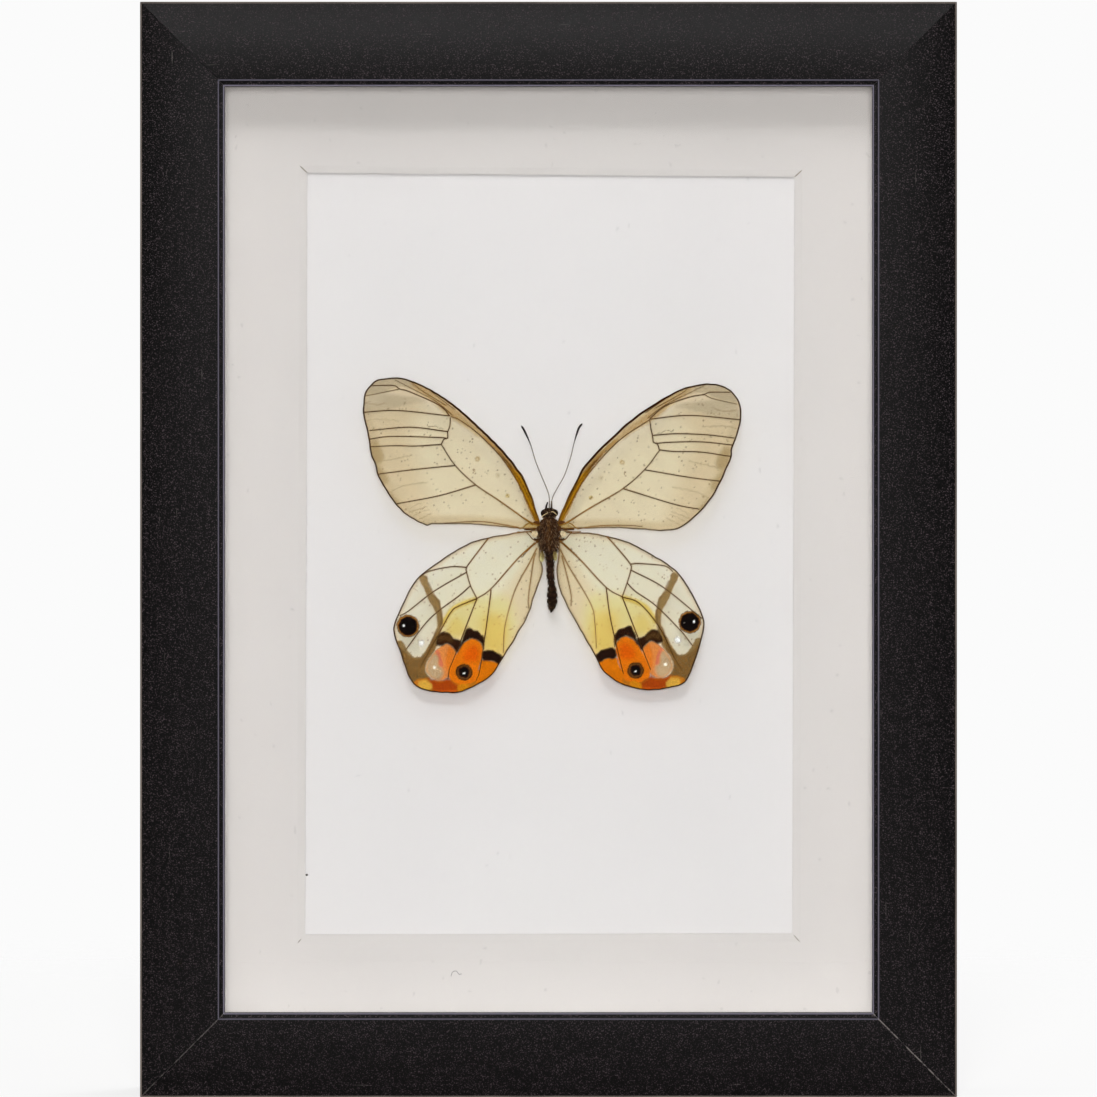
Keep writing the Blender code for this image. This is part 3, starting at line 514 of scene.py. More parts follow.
hindwingLayers = [
    ("area", [-2, -2, -7, -9, -10, -14, -11, -24, -8, -24, -4, -16, -1, -8], (212, 196, 158), 0.15, 3.0, 0.8),
    ("rim", 0.7, (190, 168, 122), 0.3, 0.9, 0.5),
    ("area", [-19.8, -17.6, -18.6, -15.2, -16.6, -13.2, -13.2, -12.4, -9, -12.2, -6.8, -14.4, -6.6, -18.6,
        -8.4, -23.2, -12, -22.8, -13, -19.6, -17, -20, -19.6, -19.6], (236, 212, 146), 0.2, 3.4, 1.0),
    ("area", [-12.8, -16.5, -9.6, -15.4, -7.6, -17.8, -8, -21.4, -9.2, -23.2, -12.2, -22.4], (238, 196, 98), 0.28,
        3.4, 0.95),
    ("area", [-19.2, -19.4, -18.8, -17.6, -17.6, -16, -16, -17.2, -16.2, -19.6], (238, 200, 104), 0.28, 2.2,
        0.85),
    ("line", [-19.8, -17.4, -18.2, -14.9, -16.4, -13.8, -13.8, -12.9], (228, 190, 44), 0.5, 0.7, 0.85, 0.1),
    ("area", [-24.2, -8.9, -22.9, -8.4, -22.4, -10.3, -21.6, -11.9, -20.6, -12.9, -20.2, -14.6, -19.8, -16.7,
        -20.3, -18.4, -20.6, -20.8, -21.4, -22.5, -22.6, -24.1, -23.1, -25.7, -22.7, -26.8, -22.1, -27.8,
        -23.6, -28.6, -25.2, -28.5, -26.8, -25.7, -27.8, -23.3, -28.6, -21, -27.4, -20.6, -26.6, -22,
        -25.5, -23.4, -24.2, -23.6, -23.4, -22.8, -22.3, -21, -21.3, -19.3, -20.9, -17.8, -21, -15.8,
        -21.5, -14.6, -22.5, -12.9, -23.3, -10.9], (152, 122, 70), 0.75, 0.3, 1.0),
    ("area", [-20.9, -18.5, -21.4, -21.6, -22.6, -24.1, -23.2, -25.9, -22.3, -28.5, -25, -28.9, -27.5, -24,
        -28.4, -21.2, -26.3, -23.2, -24.2, -23.9, -22.4, -21.6, -21.4, -19], (130, 94, 44), 0.85, 0.5, 0.85),
    ("line", [-22.4, -10, -21.5, -12, -20.6, -13.2, -20.2, -15, -20, -16.8, -20.4, -19, -20.9, -21], (112, 76,
        26), 0.85, 0.3, 0.6, 0.06),
    ("area", [-25.3, -28.3, -23.6, -27.5, -22.1, -27.8, -19.9, -27.9, -17, -27.6, -13.5, -26.5, -9.5, -24.6,
        -8.2, -23.7, -9.3, -26.2, -11.4, -28.2, -14, -29.8, -16.7, -30.6, -19.9, -30.8, -22.5, -30.6,
        -24.8, -29.8], (196, 118, 26), 0.9, 0.3, 1.0),
    ("area", [-22.6, -27.6, -21, -28, -19.9, -28, -19, -27.3, -18.6, -27.7, -17.8, -28.3, -16.8, -29.1,
        -17.8, -30, -19.5, -30.2, -21.6, -29.8], (160, 58, 6), 0.995, 1.1, 0.95),
    ("line", [-21, -30, -19, -29.9, -17.2, -29.9], (204, 84, 10), 0.95, 0.3, 0.8, 0.1),
    ("area", [-20.2, -21.6, -19.1, -21.1, -18, -21.8, -17.3, -22.9, -17.8, -24.6, -18.4, -26.1, -19.1, -27.4,
        -20.2, -27.9, -21.2, -27.8, -22.3, -27, -23, -25.9, -22.5, -24.2, -21.4, -22.7], (224, 140, 70), 0.96,
        0.25, 1.0),
    ("area", [-18.6, -21.6, -17.6, -22.6, -18, -24.6, -18.8, -26.4, -19.3, -25, -19.2, -23.2], (222, 118, 24),
        0.99, 0.7, 0.85),
    ("area", [-22.8, -24.9, -21.4, -23, -20.7, -23.6, -20.6, -25, -19.9, -25.8, -19.8, -26.8, -20.5, -27.7,
        -21.5, -27.6, -22.7, -26.5], (208, 184, 144), 0.6, 0.9, 0.95),
    ("line", [-20.9, -22.6, -20.4, -23.6, -20.1, -25.2], (214, 112, 88), 0.9, 0.35, 0.8, 0.12),
    ("area", [-15.7, -20.8, -14.6, -20.2, -13.3, -20.5, -12.5, -21.8, -12.6, -23.7, -13.2, -25.7, -13.6, -27.8,
        -14.8, -28.5, -16.5, -28.9, -17.8, -28.2, -18.7, -27.6, -18.6, -25.9, -17.4, -23.3, -16.5, -21.6], (218,
        112, 8), 0.995, 0.2, 1.0),
    ("area", [-15.6, -22.4, -14, -21.4, -13.2, -22.6, -13.6, -24.2, -15.9, -24.2], (214, 86, 1), 0.995, 1.4,
        0.9),
    ("area", [-12.2, -24.2, -10.6, -24.3, -9.2, -25.1, -9, -25.6, -10.2, -27.4, -12.4, -28.8, -13.7, -28.6,
        -13.5, -26.6, -13.2, -25.9, -12.6, -24.1], (211, 112, 4), 0.995, 0.25, 1.0),
    ("area", [-21.2, -20.9, -20.2, -19, -18.7, -19.1, -17.8, -20.1, -16.4, -20.6, -16.7, -22.1, -17.3, -22.8,
        -18, -21.8, -19.1, -21.1, -20.2, -21.6], (46, 20, 4), 0.98, 0.45, 1.0),
    ("area", [-20.6, -19.8, -19.2, -19.5, -18, -20.3, -18.2, -20.9, -19.4, -20.4, -20.6, -20.8], (104, 70, 30),
        0.85, 0.6, 0.5),
    ("area", [-16.2, -20.1, -15.3, -18.2, -14, -18.5, -12.9, -19, -12.1, -20.2, -12.2, -22.2, -12.8, -21,
        -13.4, -20.5, -14.6, -20.2, -15.7, -20.8, -16.7, -22], (38, 16, 5), 0.99, 0.45, 1.0),
    ("area", [-12.4, -22.5, -10.8, -22.3, -9, -23.2, -8.5, -24.4, -9.5, -24.9, -10.6, -24.3, -12.4, -24.2], (32,
        13, 4), 0.99, 0.4, 1.0),
    ("area", [-24.4, -28.2, -23, -27.9, -21.9, -28.6, -22, -29.6, -23.8, -29.6], (220, 172, 66), 0.95, 0.5, 1.0),
    ("area", [-17, -29, -15.9, -28.5, -15, -28.8, -15.7, -29.8, -17, -30], (214, 136, 16), 0.95, 0.4, 1.0),
    ("rim", 0.22, (104, 70, 26), 0.8, 0.25, 0.6),
    ("spot", (-5.9, -2.2, 0.14), (150, 108, 50), 0.6, 0.14, 0.7),
    ("spot", (-4.8, -4.6, 0.16), (96, 60, 24), 0.8, 0.14, 0.8),
    ("spot", (-5.7, -5.8, 0.16), (96, 60, 24), 0.8, 0.14, 0.8),
    ("line", [-4.3, -3.8, -4.7, -4.6, -5.3, -5], (60, 34, 12), 0.9, 0.1, 0.8, 0.06),
]


def eyespot(x, y, radius, pupilX, pupilY, core, ring):
    # core and ring are shares of the radius
    big = core > 0.6
    return [
        ("spot", (x, y, radius), (60, 28, 9), 0.99, 0.2, 1.0),
        ("ring", (x, y, radius * ring), (160, 108, 42), 0.99, 0.12, 0.9 if big else 0.3, 0.06),
        ("spot", (x, y, radius * (core + 0.07)), (50, 18, 8), 0.99, 0.1, 1.0),
        ("spot", (x, y, radius * core), (9, 3, 2), 1.0, 0.12, 1.0),
        ("spot", (pupilX, pupilY, 0.25 if big else 0.17), (250, 248, 246), 1.0, 0.1, 1.0),
    ]


forewingLeft = {
    "node": "forewing_left", "rise": 0.6, "tilt": 0.0, "base": (212, 202, 170), "cover": 0.07,
    "outline": [-1.75, 1.3, -2.35, 3.3, -3.2, 6, -4.6, 9.3, -5.7, 11.1, -9.1, 15.3, -16.6, 22.4, -22.2, 26.2,
        -27.2, 28.2, -31.6, 28, -33.5, 26.7, -34.4, 25, -34.6, 21.7, -33.6, 17, -33.2, 13.9, -32.5, 12.5,
        -31.6, 9.5, -27.8, 3.9, -23.3, 1, -21.3, 1.1, -14.9, 1.1, -5.7, 0.3, -3.7, 0.25, -2.1, 0.35],
    "rimRadii": [(0, 0.2), (6, 0.21), (8, 0.16), (11, 0.13), (16, 0.13), (18, 0.1), (20, 0.07), (24, 0.08)],
    "veins": [
        [-3.1, 1, -9.4, 5.5, -13.7, 8.4, -17.5, 12, -20.1, 15.9],
        [-20.1, 15.9, -19.6, 16.9, -18.9, 17.1, -18.9, 18.2, -18.5, 19.4, -18.4, 20.9],
        [-2.6, 1.8, -5.3, 7.8, -8.8, 13.3, -12.9, 17.6, -16.6, 20.4, -18.4, 21.1],
        [-18.5, 21.2, -28, 22.2, -34.5, 21.9], [-18.9, 18.3, -25.9, 19.1, -33.4, 18.5],
        [-19.1, 17, -20.5, 17.2, -29.3, 17.4, -33.4, 16.9],
        [-20.1, 15.9, -25.2, 15.6, -28.4, 15.7, -33.3, 15.5], [-17.5, 12, -24.7, 11.3, -31.9, 10.4],
        [-13.7, 8.4, -20.5, 6.4, -28.4, 4.9],
        [-18.5, 21.2, -20.5, 23.2, -26, 25.7, -27.8, 26.2, -28.7, 26.8, -30.3, 26.9, -33.3, 26.8],
    ],
    "fineVeins": [
        [-27.8, 26.2, -34.2, 24.9], [-18, 21.3, -21.1, 23.9, -26, 26.5, -28.7, 27.9],
        [-19.3, 23.2, -24, 26.1, -25.9, 27.8], [-17.6, 22.4, -22.1, 25.8], [-5.7, 0.5, -12.7, 1.6, -19.5, 1.3],
    ],
    "landmarks": [-20.1, 15.9, -18.5, 21.2, -34.5, 21.9, -27.8, 3.9, -13.7, 8.4, -27.2, 28.2, -3.1, 1,
        -33.3, 15.5],
}
forewingRight = {
    "node": "forewing_right", "rise": 0.6, "tilt": 0.0, "base": (212, 202, 170), "cover": 0.07,
    "outline": [1.5, 1.4, 2.2, 3.4, 3.3, 6, 5, 9.3, 7.1, 12.8, 15.1, 20.5, 22.4, 25.2, 26, 26.7, 30, 27.2,
        33.2, 26.3, 35.2, 23.9, 35.6, 20.9, 34.9, 17.7, 33.9, 15.1, 33.6, 13.1, 30.8, 7.1, 27.8, 3.2, 24.6, 0.7,
        21.2, -0.1, 12.1, 0.4, 5.1, 0.3, 2, 0.35],
    "rimRadii": [(0, 0.2), (6, 0.21), (8, 0.16), (10, 0.13), (15, 0.13), (17, 0.1), (19, 0.07), (22, 0.08)],
    "veins": [
        [2.9, 1.2, 7.5, 4.1, 13.6, 7.7, 17.7, 11.3, 20.4, 14.8],
        [20.4, 14.8, 20, 16, 19.3, 16.3, 19.1, 17.6, 18.8, 18.9, 18.6, 20.5],
        [2.9, 3.2, 5.9, 8.6, 9.6, 13.3, 13.6, 17.2, 18.6, 20.5], [18.6, 20.6, 26, 21.3, 35.4, 20.5],
        [19.1, 17.6, 23.6, 17.9, 29.2, 17.7, 34.3, 17.1], [19.9, 16.1, 22.2, 16.3, 28, 16.4, 34, 15.8],
        [20.4, 14.9, 23.2, 14.6, 28, 14.5, 33.6, 13.7], [17.7, 11.2, 26, 9.8, 31.6, 9.1],
        [13.7, 7.7, 23.2, 4.8, 27.8, 3.9],
        [18.6, 20.7, 20.4, 22.3, 22.2, 23.4, 26, 24.7, 28.7, 25.2, 29.8, 25.6, 33.6, 25.6],
    ],
    "fineVeins": [
        [28.7, 25.2, 30.4, 24.4, 34.8, 23.4], [18.2, 20.8, 21.4, 23.2, 26.2, 25.6, 28.8, 26.9],
        [19.5, 22.6, 24.2, 25.2, 26, 26.6], [17.8, 21.8, 22.3, 24.9],
        [5.1, 0.2, 9.1, 0.8, 14.1, 0.9, 17.2, 0.7],
    ],
    "landmarks": [20.4, 14.8, 18.6, 20.6, 35.4, 20.5, 27.8, 3.2, 13.7, 7.7, 27, 27, 2.9, 1.2, 33.6, 13.7],
}
hindwingLeft = {
    "node": "hindwing_left", "rise": -0.1, "tilt": 4.0, "base": (225, 215, 190), "cover": 0.07,
    "outline": [-1.6, -2.2, -2.1, -0.9, -3.5, -0.2, -5.4, -0.3, -7.7, -0.65, -13, -1.7, -16.5, -3.2, -23.2, -7.7,
        -25.7, -10.5, -28.7, -16.8, -28.9, -19.3, -27.9, -22.3, -25, -28.9, -18.3, -30.3, -14.8, -29.4,
        -11.1, -27.3, -8.8, -24, -4.2, -16.3, -3, -12.7, -1.3, -7.7, -1.7, -4.8],
    "rimRadii": [(0, 0.08), (5, 0.1), (7, 0.11), (12, 0.12), (16, 0.1), (18, 0.07), (21, 0.07)],
    "veins": [
        [-11.3, -1.4, -14.2, -5.2, -15.4, -6.9, -15.4, -7.8, -14.7, -10.3, -13.5, -12.7],
        [-15.4, -6.9, -18.3, -6.8, -22.3, -7.6, -24.1, -8.7],
        [-15.4, -7.8, -21.4, -11.3, -26.2, -15, -27.8, -15.9],
        [-14.7, -10.3, -16.7, -12.1, -22.2, -16.4, -26.8, -22.3],
        [-13.5, -12.7, -16.9, -14.1, -18.3, -15.2, -20.4, -18.9, -24.1, -25.6],
        [-13.5, -12.7, -17.6, -23.3, -18.6, -25.8, -18.9, -27.7],
        [-2.8, -2.4, -6, -5.4, -10.9, -10.9, -13.5, -12.7],
        [-10.9, -10.9, -11.1, -13.1, -12.8, -25.1, -13.6, -27.9],
    ],
    "fineVeins": [
        [-2.4, -3.4, -3.9, -6.4, -5.4, -9, -6.8, -12.2, -8.3, -17.9, -8.6, -22.8],
        [-2.6, -4.3, -3, -5.7, -3.9, -12.2, -3.9, -14.5],
    ],
    "landmarks": [-15.4, -7.4, -13.5, -12.7, -10.9, -10.9, -25, -28.9, -18.3, -30.3, -8.8, -24, -26.3, -17.8,
        -15.9, -26.4, -21.4, -25.5],
    "own": eyespot(-26.3, -17.8, 2.1, -27.1, -17.7, 0.76, 0.9) + [
        ("spot", (-25.3, -18.0, 0.08), (170, 160, 150), 0.9, 0.08, 0.8),
        ("spot", (-23.8, -21.0, 0.5), (255, 255, 252), 1.0, 0.5, 1.0),
        ("spot", (-21.4, -25.5, 0.3), (252, 246, 232), 1.0, 0.2, 1.0),
    ] + eyespot(-15.9, -26.4, 1.55, -15.9, -26.6, 0.58, 0.78),
}
hindwingRight = {
    "node": "hindwing_right", "rise": -0.1, "tilt": 4.0, "base": (225, 215, 190), "cover": 0.07,
    "outline": [2, -0.5, 4.4, -0.4, 7.6, -0.5, 13.2, -1.7, 16.7, -3.2, 22.4, -6.6, 25.2, -9.6, 28.6, -16.3,
        28.2, -20.7, 26.1, -26.7, 24.3, -28.8, 18.8, -29.8, 15.1, -29.2, 12.5, -28.2, 9.9, -26.1, 8.4, -23.3,
        4.4, -16.3, 2.1, -11.7, 1.3, -8, 1.6, -4.6],
    "rimRadii": [(0, 0.1), (3, 0.1), (5, 0.11), (11, 0.12), (15, 0.1), (17, 0.07), (20, 0.07)],
    "veins": [
        [10.6, -1.1, 13, -3.8, 15, -6.3, 15.1, -7.4, 14.4, -9.8, 13.5, -12.4],
        [15, -6.3, 16.7, -6.2, 20.6, -6.5, 22, -6.9, 22.9, -7.7], [15.1, -7.4, 21.1, -10.6, 28.3, -16.4],
        [14.4, -9.8, 16, -11.4, 19.7, -14, 24.3, -18.6, 26.6, -21.5],
        [13.5, -12.4, 16.7, -13.6, 20.4, -18, 22.9, -23.1, 24.6, -26], [13.5, -12.4, 18.8, -26],
        [2.1, -2.2, 5.6, -5.4, 10.5, -10.6, 13.5, -12.4], [10.5, -10.6, 11.4, -16.8, 13.7, -26.7],
    ],
    "fineVeins": [
        [2, -3.6, 3.5, -6.6, 7.6, -13.6, 8.4, -17.1, 8.7, -21.9], [2.3, -4.8, 3.9, -11.4, 4, -14],
    ],
    "landmarks": [15.1, -6.9, 13.5, -12.4, 10.5, -10.6, 24.3, -28.8, 18.8, -29.8, 8.4, -23.3, 26.05, -17.07,
        16.02, -26.05, 21.5, -24.95],
    "own": eyespot(26.05, -17.07, 2.1, 26.85, -16.98, 0.76, 0.9) + [
        ("spot", (25.0, -17.2, 0.08), (170, 160, 150), 0.9, 0.08, 0.8),
        ("spot", (23.8, -20.4, 0.55), (255, 255, 252), 1.0, 0.5, 1.0),
        ("spot", (21.5, -24.95, 0.32), (252, 246, 232), 1.0, 0.2, 1.0),
    ] + eyespot(16.0, -26.05, 1.55, 16.0, -26.25, 0.58, 0.78),
}
wingLook = {
    "cell": 0.16, "thickness": 0.05, "camber": 0.4, "span": 36.0,
    "veinRadius": 0.095, "fineRadius": 0.06, "veinDark": tone(60, 32, 2), "veinAmber": tone(124, 80, 6),
    "rimDark": tone(48, 22, 2), "rimAmber": tone(118, 76, 12),
    "veinTaper": (1.1, 0.85), "fineTaper": (1.1, 0.7),  # shares of the radius at a vein's root and tip
    "veinAmberReach": (21.0, 5.0), "rimAmberReach": (15.0, 3.0),  # from the thorax: none, full
    "specks": 260, "speck": ((132, 96, 42), 0.7),  # tone and cover
    "veinStain": ((168, 126, 40), 0.85), "rimStain": ((126, 84, 32), 0.85),
}


def ease(low, high, value):
    t = np.clip((value - low) / (high - low), 0.0, 1.0)
    return t * t * (3.0 - 2.0 * t)


def ripple(points, size, seed):
    # a smooth wandering value between about -1 and 1
    wave = np.random.default_rng(seed)
    total = np.zeros(len(points))
    for _ in range(7):
        angle, phase = wave.uniform(0, 2 * math.pi, 2)
        pace = 2 * math.pi / (size * wave.uniform(0.6, 1.7))
        total += np.sin((points[:, 0] * math.cos(angle) + points[:, 1] * math.sin(angle)) * pace + phase)
    return total / 3.5


def nearestOn(points, line):
    best = np.full(len(points), 1e9)
    spot = np.zeros_like(points)
    for start, end in zip(line[:-1], line[1:]):
        along = end - start
        share = np.clip(((points - start) @ along) / max(float(along @ along), 1e-12), 0.0, 1.0)
        foot = start + share[:, None] * along
        gap = np.hypot(points[:, 0] - foot[:, 0], points[:, 1] - foot[:, 1])
        closer = gap < best
        best = np.where(closer, gap, best)
        spot[closer] = foot[closer]
    return best, spot


def insideOf(points, loop):
    inside = np.zeros(len(points), bool)
    x, y = points[:, 0], points[:, 1]
    for (x1, y1), (x2, y2) in zip(loop, np.roll(loop, -1, axis=0)):
        crosses = (y1 > y) != (y2 > y)
        if y1 != y2:
            inside ^= crosses & (x < (x2 - x1) * (y - y1) / (y2 - y1) + x1)
    return inside


def closedLine(loop):
    return np.concatenate((loop, loop[:1]))


def layerMask(points, layer, rimDistance, fit):
    kind, shape, soft = layer[0], layer[1], layer[4]
    if kind == "rim":
        return ease(shape + soft / 2, max(shape - soft / 2, 0.0), rimDistance)
    if kind in ("spot", "ring"):
        centre = fit(np.array([shape[:2]], float))[0]
        gap = np.hypot(points[:, 0] - centre[0], points[:, 1] - centre[1])
        if kind == "ring":
            return ease(layer[6] + soft, layer[6], np.abs(gap - shape[2]))
        return ease(shape[2] + soft / 2, shape[2] - soft / 2, gap)
    line = curveThrough(fit(pairs(shape)), 0.4, kind == "area")
    reach = soft + 1.0
    low, high = line.min(axis=0) - reach, line.max(axis=0) + reach
    near = np.all((points > low) & (points < high), axis=1)
    mask = np.zeros(len(points))
    if not near.any():
        return mask
    some = points[near]
    if kind == "area":
        gap = nearestOn(some, closedLine(line))[0]
        gap = np.where(insideOf(some, line), -gap, gap)
        mask[near] = ease(soft / 2, -soft / 2, gap)
    else:
        mask[near] = ease(layer[6] + soft, layer[6], nearestOn(some, line)[0])
    return mask


def layOver(colours, shade, cover, mask):
    colours += (np.array([*tone(*shade), cover]) - colours) * mask[:, None]


def paintWing(points, design, layers, fit, outline, veins, look):
    # tone and cover at each point
    colours = np.empty((len(points), 4))
    colours[:, :3] = tone(*design["base"])
    colours[:, 3] = design["cover"]
    rimDistance = nearestOn(points, closedLine(outline))[0]
    warped = points + np.stack((ripple(points, 0.9, 3), ripple(points, 0.9, 4)), axis=1) * 0.07
    warped += np.stack((ripple(points, 0.35, 5), ripple(points, 0.35, 6)), axis=1) * 0.04
    jobs = [(layer, fit) for layer in layers] + [(layer, lambda p: p) for layer in design.get("own", [])]
    for layer, mapping in jobs:
        layOver(colours, layer[2], layer[3], layerMask(warped, layer, rimDistance, mapping) * layer[5])
    pepper = np.random.default_rng(int(abs(outline[0, 0]) * 100) + len(outline))
    low, high = outline.min(axis=0), outline.max(axis=0)
    for _ in range(look["specks"]):
        centre = pepper.uniform(low, high)
        gap = np.hypot(points[:, 0] - centre[0], points[:, 1] - centre[1])
        mask = ease(pepper.uniform(0.14, 0.26), 0.05, gap) * pepper.uniform(0.3, 0.9) * (1.0 - colours[:, 3])
        layOver(colours, *look["speck"], mask)
    toVein = np.full(len(points), 1e9)
    for vein in veins:
        toVein = np.minimum(toVein, nearestOn(points, vein)[0])
    near = ease(24.0, 4.0, np.hypot(points[:, 0], points[:, 1]))
    mask = ease(0.26, 0.08, toVein) * (0.45 + 0.3 * near) * (1.0 - colours[:, 3])
    layOver(colours, *look["veinStain"], mask)
    layOver(colours, *look["rimStain"], ease(0.42, 0.16, rimDistance) * 0.7 * (1.0 - colours[:, 3]))
    mottle = 1.0 + 0.03 * ripple(points, 3.0, 11) + 0.025 * ripple(points, 0.7, 12)
    colours[:, :3] *= mottle[:, None]
    return np.clip(colours, 0.0, 1.0)


def wingHeight(x, y, design, look):
    arch = look["camber"] * np.sin(math.pi * np.minimum(np.abs(x) / look["span"], 1.0))
    return design["rise"] + arch + y * math.sin(math.radians(design["tilt"]))


def mirrorFit(left, right):
    # the turn and shift that lay the mirrored left landmarks on the right ones
    left, right = pairs(left) * (-1.0, 1.0), pairs(right)
    middleLeft, middleRight = left.mean(axis=0), right.mean(axis=0)
    a, b = left - middleLeft, right - middleRight
    angle = math.atan2(float((a[:, 0] * b[:, 1] - a[:, 1] * b[:, 0]).sum()), float((a * b).sum()))
    turn = np.array([[math.cos(angle), math.sin(angle)], [-math.sin(angle), math.cos(angle)]])
    return lambda p: (np.asarray(p, float) * (-1.0, 1.0) - middleLeft) @ turn + middleRight


def wingSheet(outline, look):
    # a flat sheet of small squares, cut to the outline and given its thickness
    cell = look["cell"]
    low, high = outline.min(axis=0) - cell, outline.max(axis=0) + cell
    count = np.ceil((high - low) / cell).astype(int)
    bm = bmesh.new()
    bmesh.ops.create_grid(bm, x_segments=int(count[0]), y_segments=int(count[1]), size=0.5)
    at = np.array([v.co[:2] for v in bm.verts])
    at = low + (at - at.min(axis=0)) / (at.max(axis=0) - at.min(axis=0)) * (high - low)
    gap, foot = nearestOn(at, closedLine(outline))
    gap = np.where(insideOf(at, outline), -gap, gap)
    verts = bm.verts[:]
    for vert, place in zip(verts, at):
        vert.co = (place[0], place[1], 0.0)
    feet = {vert: place for vert, place in zip(verts, foot)}
    bmesh.ops.delete(bm, geom=[v for v, g in zip(verts, gap) if g > cell * 0.45], context="VERTS")
    bmesh.ops.delete(bm, geom=[v for v in bm.verts if not v.link_faces], context="VERTS")
    for vert in bm.verts:
        if vert.is_boundary:
            vert.co.xy = feet[vert]
    grown = bmesh.ops.extrude_face_region(bm, geom=bm.faces[:])
    upper = {part for part in grown["geom"] if isinstance(part, bmesh.types.BMVert)}
    half = look["thickness"] / 2
    for vert in bm.verts:
        vert.co.z = half if vert in upper else -half
    bmesh.ops.recalc_face_normals(bm, faces=bm.faces[:])
    return bm


def rimRoute(outline, controls, stops):
    shares = np.linspace(0, controls, len(outline), endpoint=False)
    radii = np.interp(shares, [s[0] for s in stops], [s[1] for s in stops])
    ahead, behind = np.roll(outline, -1, axis=0), np.roll(outline, 1, axis=0)
    along = ahead - behind
    along /= np.linalg.norm(along, axis=1)[:, None]
    area = 0.5 * float((outline[:, 0] * ahead[:, 1] - ahead[:, 0] * outline[:, 1]).sum())
    inward = np.stack((-along[:, 1], along[:, 0]), axis=1) * (1.0 if area > 0 else -1.0)
    return outline + inward * radii[:, None], radii


def makeWing(design, layers, fit, material, look):
    outline = curveThrough(pairs(design["outline"]), 0.3, True)
    outline += np.stack((ripple(outline, 2.4, 8), ripple(outline, 2.4, 9)), axis=1) * 0.05
    veins, fine = ([curveThrough(pairs(vein), 0.35) for vein in design[key]] for key in ("veins", "fineVeins"))
    bm = wingSheet(outline, look)
    sheetCount = len(bm.verts)
    flat = np.array([v.co[:] for v in bm.verts])
    paint = paintWing(flat[:, :2], design, layers, fit, outline, veins + fine, look)
    flat[:, 2] += wingHeight(flat[:, 0], flat[:, 1], design, look)
    for vert, place in zip(bm.verts, placed(flat)):
        vert.co = place
    rim, rimRadii = rimRoute(outline, len(design["outline"]) // 2, design["rimRadii"])
    radii = [np.linspace(*look["veinTaper"], len(line)) * look["veinRadius"] for line in veins]
    radii += [np.linspace(*look["fineTaper"], len(line)) * look["fineRadius"] for line in fine]
    lifted = [placed(np.column_stack((r, wingHeight(r[:, 0], r[:, 1], design, look)))) for r in veins + fine]
    bm.from_mesh(tubeMesh(lifted, [r * mm for r in radii], 2))
    veinCount = len(bm.verts) - sheetCount
    rimPlace = placed(np.column_stack((rim, wingHeight(rim[:, 0], rim[:, 1], design, look))))
    bm.from_mesh(tubeMesh([rimPlace], [rimRadii * mm], 2, True))
    mesh = bpy.data.meshes.new(design["node"])
    bm.to_mesh(mesh)
    bm.free()
    at = specimenCorners(mesh)
    colours = np.ones((len(at), 4))
    colours[:sheetCount] = paint
    fromRoot = np.hypot(at[:, 0], at[:, 1])
    amber = ease(*look["veinAmberReach"], fromRoot)[:, None]
    veinTone = np.array(look["veinDark"]) * (1 - amber) + np.array(look["veinAmber"]) * amber
    amber = ease(*look["rimAmberReach"], fromRoot)[:, None] * 0.8
    rimTone = np.array(look["rimDark"]) * (1 - amber) + np.array(look["rimAmber"]) * amber
    end = sheetCount + veinCount
    colours[sheetCount:end, :3] = veinTone[sheetCount:end]
    colours[end:, :3] = rimTone[end:]
    colours[sheetCount:, :3] *= (1.0 + 0.25 * ripple(at[sheetCount:, :2], 1.4, 21))[:, None]
    name = "scaled_" + design["node"]
    settle(name, mesh, [material], [design["node"]], 60.0, np.clip(colours, 0.0, 1.0))


def wingMaterial():
    material, place = newMaterial("wingFilm")
    paint = put("Attribute", attribute_name="paint")
    scales = noiseAt(place, 5200.0, 2.0, 0.6)
    rows = noiseAt(stretched(place, (1.0, 1.0, 0.35)), 9000.0, 1.0)
    grain = calc("MULTIPLY_ADD", scales, 0.6, calc("MULTIPLY", rows, 0.4))
    shade = spread(grain, 0.32, 0.68, 0.78, 1.2)
    dense = calc("MULTIPLY_ADD", calc("SUBTRACT", shade, 1.0), paint.outputs["Alpha"], 1.0)
    albedo = scaled(scaled(paint.outputs["Color"], dense), 1.12)
    normal = bumpFrom(grain, 0.25, 0.00003)
    film = plainSurface(albedo, 0.66, normal, Specular_IOR_Level=0.03)
    clear = scaled(paint.outputs["Color"], 1.5)
    clear = put("VectorMath", {0: clear, 1: (1.0, 1.0, 1.0)}, operation="MINIMUM").outputs[0]
    tint = put("Gamma", {"Color": clear, "Gamma": 0.25}).outputs[0]
    through = put("BsdfTransparent", {"Color": tint}).outputs[0]
    left = calc("SQRT", calc("SUBTRACT", 1.0, paint.outputs["Alpha"]))
    cover = calc("SUBTRACT", 1.0, left)
    return finished(material, put("MixShader", {0: cover, 1: through, 2: film}).outputs[0])


wingFilm = wingMaterial()
for left, right, layers in (
    (forewingLeft, forewingRight, forewingLayers), (hindwingLeft, hindwingRight, hindwingLayers),
):
    makeWing(left, layers, lambda p: p, wingFilm, wingLook)
    makeWing(right, layers, mirrorFit(left["landmarks"], right["landmarks"]), wingFilm, wingLook)

